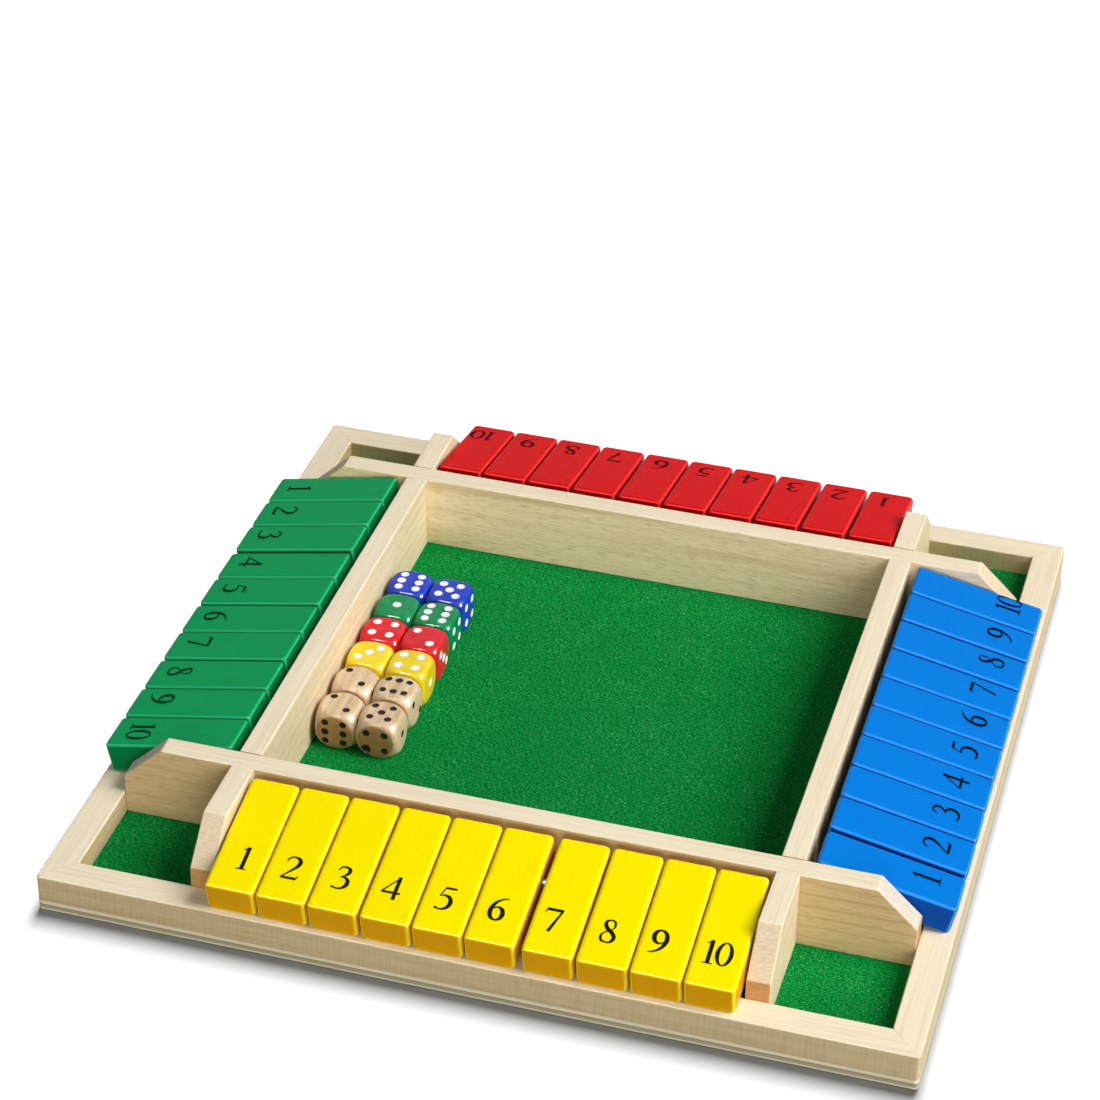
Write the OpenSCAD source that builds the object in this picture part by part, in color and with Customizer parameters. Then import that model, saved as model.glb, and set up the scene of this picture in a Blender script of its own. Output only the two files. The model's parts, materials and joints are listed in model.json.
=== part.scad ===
// Four-player shut the box game: a square tray with a row of ten flip-down
// number tiles on each side, a felt dice floor in the middle and twelve dice.
// Millimetres. The origin is the middle of the underside, +Z is up and the
// yellow row faces -Y.

/* [Board] */
// Outer width and depth of the square board
board_w = 300; // [285:1:340]
// Thickness of the plywood base
base_t = 4.2; // [3:0.1:9]
// Thickness of the felt sheet
felt_t = 1.6; // [1:0.1:3]
// Radius of the board's four upright corners
corner_r = 1.5; // [0.5:0.1:4]

/* [Rails] */
// Width of the low rail round the edge
rail_w = 11.2; // [9:0.1:14]
// Height of the rail above the plywood
rail_h = 10; // [8:0.1:12]
// Radius of the rail's eased top edges
rail_ease = 0.6; // [0.2:0.1:1.5]
// Gap at each mitre of the rails
mitre_gap = 0.1; // [0.05:0.05:0.3]

/* [Walls] */
// Thickness of each upright wall
wall_t = 8.2; // [7:0.1:10]
// Height of a wall above the felt
wall_h = 29.2; // [28:0.1:34]
// Distance from the board's edge to the near face of a wall
bay_depth = 51.1; // [48:0.1:56]
// Length of the sloping cut at the top of a wall's end
clip_len = 14.2; // [8:0.1:16]
// Height of the sloping cut at the top of a wall's end
clip_h = 13.6; // [8:0.1:18]
// Radius of a wall's eased top edges
wall_ease = 0.5; // [0.2:0.1:1.5]
// Play on each side of the half-lap joints
lap_play = 0.1; // [0.05:0.05:0.3]

/* [Hinge rods] */
// Diameter of a hinge rod
rod_d = 3; // [2:0.1:4]
// Distance from a rod's axis to the wall beside it
rod_from_wall = 18; // [17:0.1:20]
// Depth of the blind holes that hold a rod's ends
rod_hole_depth = 5; // [3:0.1:6]
// Radial play between a rod and its blind holes
rod_play = 0.05; // [0.02:0.01:0.1]
// Space left past each end of a rod
rod_end_gap = 0.3; // [0.1:0.1:0.8]

/* [Tiles] */
// Thickness of a tile
tile_t = 11.5; // [9:0.1:12]
// Slope of a tile that rests on the rail, in degrees
tile_slope = 11.5; // [8:0.1:14]
// Mean gap between neighbouring tiles
tile_gap = 0.6; // [0.4:0.05:1]
// Gap between a row's last tile and the wall
row_end_gap = 0.9; // [0.85:0.05:3]
// Gap left between a tile's swinging tail and the wall
swing_gap = 1.1; // [0.6:0.1:3]
// Gap between a tile and the stop that it leans on
seat_gap = 0.1; // [0.05:0.05:0.3]
// Radial play between a tile's bore and its rod
bore_play = 0.08; // [0.02:0.01:0.1]
// Radius of a tile's four long edges
tile_long_r = 1.6; // [0.5:0.1:3]
// Radius of the top and bottom edges at a tile's ends
tile_end_r = 1.2; // [0.4:0.1:2]
// Radius of a tile's four corners seen from above
tile_plan_r = 2; // [0.4:0.1:3]

/* [Dice] */
// Width of a die
die_w = 15.4; // [12:0.1:16]
// Gap between neighbouring dice
die_gap = 0.4; // [0.3:0.05:1]
// Extra gap behind the front pair of dice
die_front_gap = 0.7; // [0:0.1:3]
// Gap between the dice and the left wall
die_wall_gap = 1.5; // [1:0.1:4]
// Distance from the back wall to the left column's last die
die_back_gap = 40.8; // [10:0.1:60]
// How far the right column is pushed to the front
die_shift = 0.9; // [0:0.1:3]
// Edge radius of a plastic die
plastic_edge_r = 1.1; // [0.5:0.1:2]
// Radius of the ball that rounds a plastic die's corners
plastic_ball_r = 11.1; // [11:0.1:12]
// Edge radius of a wooden die
wooden_edge_r = 0.6; // [0.3:0.1:1]
// Radius of the ball that rounds a wooden die
wooden_ball_r = 10.2; // [9.8:0.1:10.8]
// Diameter of a pip on a plastic die
plastic_pip_d = 3.3; // [2:0.1:3.4]
// Diameter of a pip on a wooden die
wooden_pip_d = 2.5; // [1.5:0.1:3]
// Depth of a pip's dimple
pip_depth = 0.4; // [0.2:0.1:0.8]
// Distance from a face's middle to a corner pip, along each side
pip_step = 3.4; // [3.3:0.1:3.6]
// Distance between the pips in a row of three
pip_row_step = 4.1; // [3.5:0.1:4.2]

/* [Hidden] */
$fn = 48;

TILES_PER_ROW = 10;
ROWS = ["yellow", "blue", "red", "green"];
ROW_PAINTS = ["#F6E500", "#0C7FE6", "#D8262C", "#058A50"];
// Each row's free play, shared out over the nine gaps from tile 1 to tile 10
ROW_GAP_SHARES = [
  [3, 4, 6, 4, 4, 19, 7, 4, 3],
  [18, 5, 4, 3, 3, 4, 7, 8, 5],
  [8, 8, 6, 4, 5, 8, 6, 5, 4],
  [3, 4, 18, 3, 8, 3, 8, 4, 4]
];

// Two columns of dice, from the back pair to the front pair. Each die has its
// name, what is up, in front and on its right, and the way that those three
// patterns lie: 1 is falling or upright, -1 is rising or lying. Last comes its
// small turn on the felt, in degrees.
DICE = [
  ["die_blue_1", [6, 2, 4], [1, 1, 1], 0.5],
  ["die_blue_2", [5, 6, 4], [1, 1, 1], -0.6],
  ["die_green_1", [1, 2, 3], [1, 1, 1], 0],
  ["die_green_2", [6, 2, 4], [1, 1, 1], 0.6],
  ["die_red_1", [4, 1, 5], [1, 1, 1], -0.4],
  ["die_red_2", [2, 6, 3], [1, 1, 1], 0.5],
  ["die_yellow_1", [3, 1, 2], [-1, 1, 1], 0.6],
  ["die_yellow_2", [4, 2, 1], [1, 1, 1], -0.4],
  ["die_wood_1", [2, 4, 6], [1, 1, 1], 0.3],
  ["die_wood_2", [6, 3, 2], [-1, 1, 1], -0.7],
  ["die_wood_3", [2, 6, 3], [1, 1, 1], 0.7],
  ["die_wood_4", [5, 4, 1], [1, 1, 1], 0.4]
];
DIE_PAINTS = ["#1F3FB4", "#0A8A50", "#D21F2B", "#E8CF15"];
DICE_PER_ROW = 2;
DICE_PER_PAINT = 2;
PLASTIC_DICE = len(DIE_PAINTS) * DICE_PER_PAINT;

TILE_NAMES = [
  for (row = [0:len(ROWS) - 1], number = [1:TILES_PER_ROW])
    str("tile_", ROWS[row], "_", number)
];

// Heights of the stacked sheets
felt_z = base_t + felt_t;
rail_z = base_t + rail_h;

// Plan of the board: half widths to each face, from the middle outwards
half_w = board_w / 2;
rail_in = half_w - rail_w;
mitre_cut = mitre_gap / sqrt(2);
wall_out = half_w - bay_depth;
wall_in = wall_out - wall_t;
lap_h = wall_h / 2;

// A tile pivots at mid thickness. Its lower front edge rests on the rail and
// its front end is flush with the board's edge, which fix the rod's height
// and the reach of the tile in front of the rod.
tile_reach = (bay_depth - rod_from_wall - tile_t / 2 * sin(tile_slope)) / cos(tile_slope);
tile_tail = sqrt(pow(rod_from_wall - swing_gap, 2) - pow(tile_t / 2, 2));
tile_len = tile_reach + tile_tail;
rod_y = wall_out + rod_from_wall;
rod_z = rail_z + seat_gap + tile_end_r + (tile_reach - tile_end_r) * sin(tile_slope)
  + (tile_t / 2 - tile_end_r) * cos(tile_slope);
row_half = wall_in - row_end_gap;
tile_w = (2 * row_half - (TILES_PER_ROW - 1) * tile_gap) / TILES_PER_ROW;

// Turn of a tile from the rail to the wall's top edge, where it leans
stop_x = rod_from_wall + wall_ease;
stop_z = felt_z + wall_h - wall_ease - rod_z;
lean = asin((tile_t / 2 + wall_ease + seat_gap) / norm([stop_x, stop_z]));
flip_angle = tile_slope + 180 - atan2(stop_z, stop_x) - lean;
echo(rod_y=rod_y, rod_z=rod_z, tile_len=tile_len, tile_w=tile_w, flip_angle=flip_angle);

function sum_to(list, count) = count <= 0 ? 0 : list[count - 1] + sum_to(list, count - 1);

// Middle of a tile along its row, measured from the row's middle
function tile_x(row, number) =
  let (shares = ROW_GAP_SHARES[row],
       play = tile_gap * len(shares),
       passed = play * sum_to(shares, number - 1) / sum_to(shares, len(shares)))
  -row_half + (number - 0.5) * tile_w + passed;

// Places of the pips of one face, from its middle
function pips(count, way) =
  let (a = pip_step, b = pip_row_step)
  concat(
    count % 2 == 1 ? [[0, 0]] : [],
    count >= 2 && count < 6 ? [[-a, a * way], [a, -a * way]] : [],
    count >= 4 && count < 6 ? [[-a, -a * way], [a, a * way]] : [],
    count == 6 ? [for (side = [-1, 1], i = [-1:1])
      way > 0 ? [side * pip_step, i * b] : [i * b, side * pip_step]] : []
  );

// Rectangle about the origin with four round corners
module rounded_rect(size, r) {
  square([size.x - 2 * r, size.y], center=true);
  square([size.x, size.y - 2 * r], center=true);
  for (sx = [-1, 1], sy = [-1, 1])
    translate([sx * (size.x / 2 - r), sy * (size.y / 2 - r)]) circle(r);
}

// Board section that stands on y = 0, with its two top edges rounded
module eased_section(w, h, r) {
  translate([-w / 2, 0]) square([w, h - r]);
  translate([r - w / 2, 0]) square([w - 2 * r, h]);
  for (side = [-1, 1]) translate([side * (w / 2 - r), h - r]) circle(r);
}

// Turns what is drawn in X-Z, or in Y-Z, into a prism along the other axis
module along_y(length) {
  rotate([90, 0, 0]) linear_extrude(length, center=true) children();
}
module along_x(length) {
  rotate([90, 0, 90]) linear_extrude(length, center=true) children();
}

// Side of the board that a row belongs to: 0 is the front one
module on_side(side) {
  rotate([0, 0, 90 * side]) children();
}

module plywood_base() {
  color("#D9C7A0") linear_extrude(base_t) rounded_rect([board_w, board_w], corner_r);
}

module felt_sheet() {
  color("#0A7A35") translate([-rail_in, -rail_in, base_t])
    cube([2 * rail_in, 2 * rail_in, felt_t]);
}

// Four low rails, mitred at the corners
module edge_rails() {
  color("#E3CFA6") translate([0, 0, base_t]) intersection() {
    linear_extrude(rail_h) rounded_rect([board_w, board_w], corner_r);
    for (side = [0:3]) on_side(side) intersection() {
      translate([0, rail_w / 2 - half_w, 0]) along_x(board_w)
        eased_section(rail_w, rail_h, rail_ease);
      linear_extrude(rail_h) polygon([
        [mitre_cut - half_w, -half_w], [half_w - mitre_cut, -half_w],
        [rail_in - mitre_cut, -rail_in], [mitre_cut - rail_in, -rail_in]
      ]);
    }
  }
}

// One wall along X, its middle above the origin and its foot on z = 0
module wall_blank() {
  end = rail_in;
  intersection() {
    along_x(2 * end) eased_section(wall_t, wall_h, wall_ease);
    along_y(2 * wall_t) polygon([
      [-end, 0], [end, 0], [end, wall_h - clip_h], [end - clip_len, wall_h],
      [clip_len - end, wall_h], [-end, wall_h - clip_h]
    ]);
  }
}

// The two half-lap notches of a wall, from height z up by h
module lap_notches(z, h) {
  gap = wall_t + 2 * lap_play;
  for (side = [-1, 1])
    translate([side * (wall_out - wall_t / 2) - gap / 2, -wall_t, z]) cube([gap, 2 * wall_t, h]);
}

// The two blind holes, in the face towards +Y, that hold the rods of the rows
// on the left and the right
module rod_holes() {
  for (side = [-1, 1])
    translate([side * rod_y, wall_t / 2 + 1, rod_z - felt_z]) rotate([90, 0, 0])
      cylinder(r=rod_d / 2 + rod_play, h=rod_hole_depth + 1);
}

// A front or back wall, with its notches open at the foot
module long_wall(side) {
  color("#E8D8B4") on_side(side) translate([0, wall_t / 2 - wall_out, felt_z]) difference() {
    wall_blank();
    lap_notches(-1, lap_h + 1 + lap_play);
    rod_holes();
  }
}

// A left or right wall, with its notches open at the top
module cross_wall(side) {
  color("#EBDCBB") on_side(side) translate([0, wall_t / 2 - wall_out, felt_z]) difference() {
    wall_blank();
    lap_notches(lap_h, lap_h + 1);
    rod_holes();
  }
}

// Four steel rods, one through each row
module hinge_rods() {
  length = 2 * (wall_in + rod_hole_depth - rod_end_gap);
  color("#B8BCC0") for (side = [0:3])
    on_side(side) translate([0, -rod_y, rod_z]) rotate([0, 90, 0])
      cylinder(d=rod_d, h=length, center=true);
}

// One tile, about its rod: the numbered end points to -Y
module tile_block() {
  difference() {
    translate([0, (tile_tail - tile_reach) / 2, 0]) intersection() {
      along_y(tile_len) rounded_rect([tile_w, tile_t], tile_long_r);
      along_x(tile_w) rounded_rect([tile_len, tile_t], tile_end_r);
      linear_extrude(tile_t, center=true) rounded_rect([tile_w, tile_len], tile_plan_r);
    }
    rotate([0, 90, 0]) cylinder(r=rod_d / 2 + bore_play, h=tile_w + 2, center=true);
  }
}

module tile(row, number) {
  color(ROW_PAINTS[row]) on_side(row) translate([tile_x(row, number), -rod_y, rod_z])
    rotate([tile_slope, 0, 0]) tile_block();
}

// Cuts one face's pips as shallow dimples of a larger ball
module dimples(count, way, pip_d) {
  ball_r = (pow(pip_d / 2, 2) + pow(pip_depth, 2)) / (2 * pip_depth);
  for (place = pips(count, way))
    translate([place.x, place.y, die_w / 2 + ball_r - pip_depth]) sphere(ball_r);
}

// A die about its middle. The spots opposite each other add up to seven.
module die_block(spots, ways, edge_r, ball_r, pip_d) {
  section = [die_w, die_w];
  difference() {
    intersection() {
      linear_extrude(die_w, center=true) rounded_rect(section, edge_r);
      along_x(die_w) rounded_rect(section, edge_r);
      along_y(die_w) rounded_rect(section, edge_r);
      sphere(ball_r);
    }
    dimples(spots[0], ways[0], pip_d);
    rotate([180, 0, 0]) dimples(7 - spots[0], ways[0], pip_d);
    rotate([90, 0, 0]) dimples(spots[1], ways[1], pip_d);
    rotate([90, 0, 180]) dimples(7 - spots[1], ways[1], pip_d);
    rotate([90, 0, 90]) dimples(spots[2], ways[2], pip_d);
    rotate([90, 0, 270]) dimples(7 - spots[2], ways[2], pip_d);
  }
}

// Middle of a die on the felt: even places are the left column
function die_place(i) =
  let (column = i % DICE_PER_ROW,
       row = floor(i / DICE_PER_ROW),
       last_row = len(DICE) / DICE_PER_ROW - 1,
       pitch = die_w + die_gap)
  [-wall_in + die_wall_gap + die_w / 2 + column * pitch,
   wall_in - die_back_gap - die_w / 2 - row * pitch - column * die_shift
     - (row == last_row ? die_front_gap : 0),
   felt_z + die_w / 2];

module die(i) {
  wooden = i >= PLASTIC_DICE;
  paint = wooden ? "#D9B98C" : DIE_PAINTS[floor(i / DICE_PER_PAINT)];
  color(paint) translate(die_place(i)) rotate([0, 0, DICE[i][3]])
    die_block(DICE[i][1], DICE[i][2],
              wooden ? wooden_edge_r : plastic_edge_r,
              wooden ? wooden_ball_r : plastic_ball_r,
              wooden ? wooden_pip_d : plastic_pip_d);
}

plywood_base();
felt_sheet();
edge_rails();
long_wall(0);  // front_wall
long_wall(2);  // back_wall
cross_wall(3);  // left_wall
cross_wall(1);  // right_wall
hinge_rods();
for (row = [0:len(ROWS) - 1], number = [1:TILES_PER_ROW])
  tile(row, number);
for (i = [0:len(DICE) - 1])
  die(i);
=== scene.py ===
"""Looks of a four-player shut the box game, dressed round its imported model.

A square wooden tray holds a felt dice floor, four rows of painted number tiles
that flip on steel rods, and twelve dice. Sizes in the classes are in millimetres,
as a maker gives them, and MM turns them into Blender's metres. The origin is the
middle of the underside, +Z is up and the yellow row faces -Y.
"""

from __future__ import annotations

import json
import logging
import math
from collections.abc import Callable, Iterator, Sequence
from contextlib import contextmanager
from dataclasses import dataclass
from enum import Enum
from typing import Any

import bmesh
import bpy
from mathutils import Matrix, Vector

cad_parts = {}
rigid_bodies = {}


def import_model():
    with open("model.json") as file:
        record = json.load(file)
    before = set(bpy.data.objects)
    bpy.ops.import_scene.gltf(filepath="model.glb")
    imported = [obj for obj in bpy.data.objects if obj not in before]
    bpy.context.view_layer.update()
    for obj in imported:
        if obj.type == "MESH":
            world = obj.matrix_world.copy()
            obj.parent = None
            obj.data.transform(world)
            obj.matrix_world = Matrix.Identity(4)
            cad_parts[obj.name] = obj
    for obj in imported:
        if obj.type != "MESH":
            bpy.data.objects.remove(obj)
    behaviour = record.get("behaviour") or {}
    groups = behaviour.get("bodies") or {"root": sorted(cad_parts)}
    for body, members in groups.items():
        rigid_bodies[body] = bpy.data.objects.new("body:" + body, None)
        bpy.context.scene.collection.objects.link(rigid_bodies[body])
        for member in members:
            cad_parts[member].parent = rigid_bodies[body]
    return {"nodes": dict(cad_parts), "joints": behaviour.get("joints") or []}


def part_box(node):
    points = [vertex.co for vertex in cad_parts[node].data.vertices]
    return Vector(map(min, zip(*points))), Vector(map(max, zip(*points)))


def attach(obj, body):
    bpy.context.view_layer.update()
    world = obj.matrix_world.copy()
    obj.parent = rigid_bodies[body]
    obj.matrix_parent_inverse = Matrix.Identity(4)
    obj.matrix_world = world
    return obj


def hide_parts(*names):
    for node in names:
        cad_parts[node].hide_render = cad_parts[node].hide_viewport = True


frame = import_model()

LOG = logging.getLogger("shut_the_box")
MM = 0.001
BOARD_BODY = "board"
RAILS = ("front", "right", "back", "left")
SMOOTH_ANGLE = math.radians(32)
# Faces round a pin, enough for a smooth hole.
PIN_SIDES = 36
# How much a piece's large flats outweigh its roundings in the shading, up to 100.
FLAT_WEIGHT = 80
# Metres between the rings of a wave texture at a scale of 1.
WAVE_RING = 0.314

Point = tuple[float, float]
Stops = Sequence[tuple[float, str]]


# --- Small tools ------------------------------------------------------------


def linear(colour: str) -> tuple[float, float, float, float]:
    """Turns an sRGB hex colour into the linear colour that a shader takes.

    Args:
        colour: Six hex digits after a hash, such as "#F6E500".

    Returns:
        Linear red, green, blue and an alpha of 1.
    """
    channels = [int(colour[i : i + 2], 16) / 255 for i in (1, 3, 5)]
    red, green, blue = (c / 12.92 if c <= 0.04045 else ((c + 0.055) / 1.055) ** 2.4 for c in channels)
    return red, green, blue, 1.0


def add_node(
    tree: bpy.types.NodeTree,
    kind: str,
    settings: dict[str | int, Any] | None = None,
    links: dict[str | int, bpy.types.NodeSocket] | None = None,
) -> bpy.types.Node:
    """Adds a shader node with its settings and its incoming links.

    Args:
        tree: Node tree of a material or the world.
        kind: Type of the node without its "ShaderNode", such as "TexNoise".
        settings: Values by property name or by input. "stops" fills a colour ramp.
        links: Output sockets by the input that they go to.

    Returns:
        The new node.
    """
    node = tree.nodes.new("ShaderNode" + kind)
    for name, value in (settings or {}).items():
        if name == "stops":
            ramp = node.color_ramp
            while len(ramp.elements) < len(value):
                ramp.elements.new(1.0)
            for element, (place, colour) in zip(ramp.elements, value):
                element.position = place
                element.color = linear(colour)
        elif isinstance(name, str) and hasattr(node, name):
            setattr(node, name, value)
        else:
            node.inputs[name].default_value = value
    for name, socket in (links or {}).items():
        tree.links.new(socket, node.inputs[name])
    return node


def new_material(name: str) -> tuple[bpy.types.Material, bpy.types.NodeTree, bpy.types.Node]:
    """Starts a material with a principled shader.

    Args:
        name: Name of the real material.

    Returns:
        The material, its node tree and its shader.
    """
    material = bpy.data.materials.new(name)
    material.use_nodes = True
    tree = material.node_tree
    return material, tree, tree.nodes["Principled BSDF"]


def select_only(piece: bpy.types.Object) -> None:
    """Makes a piece the only selected object and the active one."""
    bpy.ops.object.select_all(action="DESELECT")
    piece.select_set(True)
    bpy.context.view_layer.objects.active = piece


@contextmanager
def editing(piece: bpy.types.Object) -> Iterator[None]:
    """Opens a piece in edit mode and leaves it in object mode again.

    Args:
        piece: Mesh object to edit.

    Yields:
        Nothing; the body of the with statement runs in edit mode.
    """
    select_only(piece)
    bpy.ops.object.mode_set(mode="EDIT")
    yield
    bpy.ops.object.mode_set(mode="OBJECT")


def pick(piece: bpy.types.Object, kind: str, wanted: Callable[[Any], bool]) -> None:
    """Selects the parts of the mesh in edit mode that a test picks, and no others.

    Args:
        piece: Mesh object that is in edit mode.
        kind: "verts", "edges" or "faces".
        wanted: Test that a part has to pass.
    """
    kinds = ("verts", "edges", "faces")
    bpy.context.tool_settings.mesh_select_mode = tuple(kind == name for name in kinds)
    bpy.ops.mesh.select_all(action="DESELECT")
    mesh = bmesh.from_edit_mesh(piece.data)
    mesh.select_mode = {kind[:-1].upper()}
    for part in getattr(mesh, kind):
        if wanted(part):
            part.select_set(True)
    mesh.select_flush_mode()
    bmesh.update_edit_mesh(piece.data)


def bevel_edges(
    piece: bpy.types.Object, wanted: Callable[[Any], bool], width: float, segments: int
) -> None:
    """Rounds the edges that a test picks.

    Args:
        piece: Mesh object.
        wanted: Test on a mesh edge.
        width: Width of the rounding, in millimetres.
        segments: Number of faces across the rounding.
    """
    with editing(piece):
        pick(piece, "edges", wanted)
        bpy.ops.mesh.bevel(offset=width * MM, segments=segments, profile=0.5, affect="EDGES")


def cut_away(piece: bpy.types.Object, point: Sequence[float], normal: Sequence[float]) -> None:
    """Saws a piece along a plane and closes the cut.

    Args:
        piece: Mesh object.
        point: A point of the plane, in metres.
        normal: Direction that points at the waste.
    """
    with editing(piece):
        bpy.ops.mesh.select_all(action="SELECT")
        bpy.ops.mesh.bisect(plane_co=point, plane_no=normal, clear_outer=True, use_fill=True)


def apply_modifier(piece: bpy.types.Object, kind: str, **settings: Any) -> None:
    """Adds a modifier to a piece and applies it.

    Args:
        piece: Mesh object.
        kind: Type of the modifier.
        **settings: Its properties.
    """
    select_only(piece)
    modifier = piece.modifiers.new(kind.title(), kind)
    for name, value in settings.items():
        setattr(modifier, name, value)
    bpy.ops.object.modifier_apply(modifier=modifier.name)


def carve(piece: bpy.types.Object, tool: bpy.types.Object, operation: str = "DIFFERENCE") -> None:
    """Cuts a tool's shape out of a piece, or joins it on, and removes the tool.

    Args:
        piece: Mesh object that stays.
        tool: Mesh object that is used up.
        operation: What the boolean does.
    """
    apply_modifier(piece, "BOOLEAN", operation=operation, object=tool, solver="EXACT")
    bpy.data.objects.remove(tool)


def add_block(name: str, low: Vector, high: Vector) -> bpy.types.Object:
    """Adds a sawn block that fills a box.

    Args:
        name: Name of the piece.
        low: Lowest corner, in metres.
        high: Highest corner, in metres.

    Returns:
        The block, with its place in its mesh.
    """
    bpy.ops.object.select_all(action="DESELECT")
    bpy.ops.mesh.primitive_cube_add(size=1, location=(low + high) / 2)
    block = bpy.context.object
    block.name = name
    block.scale = high - low
    bpy.ops.object.transform_apply(location=True, rotation=True, scale=True)
    return block


def add_pin(
    radius: float, length: float, centre: Sequence[float], turn: Sequence[float] = (0, 0, 0)
) -> bpy.types.Object:
    """Adds a round pin, which cuts a hole or a bore.

    Args:
        radius: Radius in millimetres.
        length: Length in millimetres.
        centre: Middle of the pin, in metres.
        turn: Rotation of its upright axis, as Euler angles in radians.

    Returns:
        The pin.
    """
    bpy.ops.object.select_all(action="DESELECT")
    bpy.ops.mesh.primitive_cylinder_add(
        vertices=PIN_SIDES, radius=radius * MM, depth=length * MM, location=centre, rotation=turn
    )
    pin = bpy.context.object
    bpy.ops.object.transform_apply(location=True, rotation=True, scale=True)
    return pin


def copy_of(piece: bpy.types.Object, name: str) -> bpy.types.Object:
    """Copies a piece with a mesh of its own.

    Args:
        piece: Object to copy.
        name: Name of the copy.

    Returns:
        The copy, linked to the scene.
    """
    twin = piece.copy()
    twin.data = piece.data.copy()
    twin.name = name
    bpy.context.scene.collection.objects.link(twin)
    return twin


def add_slots(piece: bpy.types.Object, cut: bool = False) -> None:
    """Gives a piece two material slots: its skin's and the one of what is cut into it.

    Args:
        piece: Mesh object.
        cut: True if all its faces take the second slot, as a cutter's do.
    """
    while len(piece.data.materials) < 2:
        piece.data.materials.append(None)
    for face in piece.data.polygons:
        face.material_index = int(cut)


def shade(piece: bpy.types.Object) -> None:
    """Shades the round parts of a piece smooth and keeps flats and cut rims crisp."""
    select_only(piece)
    bpy.ops.object.shade_smooth_by_angle(angle=SMOOTH_ANGLE)
    with editing(piece):
        pick(piece, "edges", lambda edge: len({face.material_index for face in edge.link_faces}) > 1)
        bpy.ops.mesh.mark_sharp()
    apply_modifier(piece, "WEIGHTED_NORMAL", keep_sharp=True, weight=FLAT_WEIGHT)


def settle(
    piece: bpy.types.Object,
    body: str,
    node: str,
    materials: Sequence[bpy.types.Material],
) -> bpy.types.Object:
    """Dresses a finished piece and puts it in its node's place.

    Args:
        piece: Finished mesh object at the origin.
        body: Body that it moves with.
        node: Node that it stands for.
        materials: Its materials, in the order of the faces' indices.

    Returns:
        The piece.
    """
    for i, material in enumerate(materials):
        if i < len(piece.data.materials):
            piece.data.materials[i] = material
        else:
            piece.data.materials.append(material)
    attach(piece, body)
    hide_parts(node)
    LOG.info("%s: %d faces, rides on %s", piece.name, len(piece.data.polygons), body)
    return piece


class Grain(Enum):
    """Direction of a board's grain, as the index of its axis."""

    X = 0
    Y = 1


# --- Finishes ---------------------------------------------------------------


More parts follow.
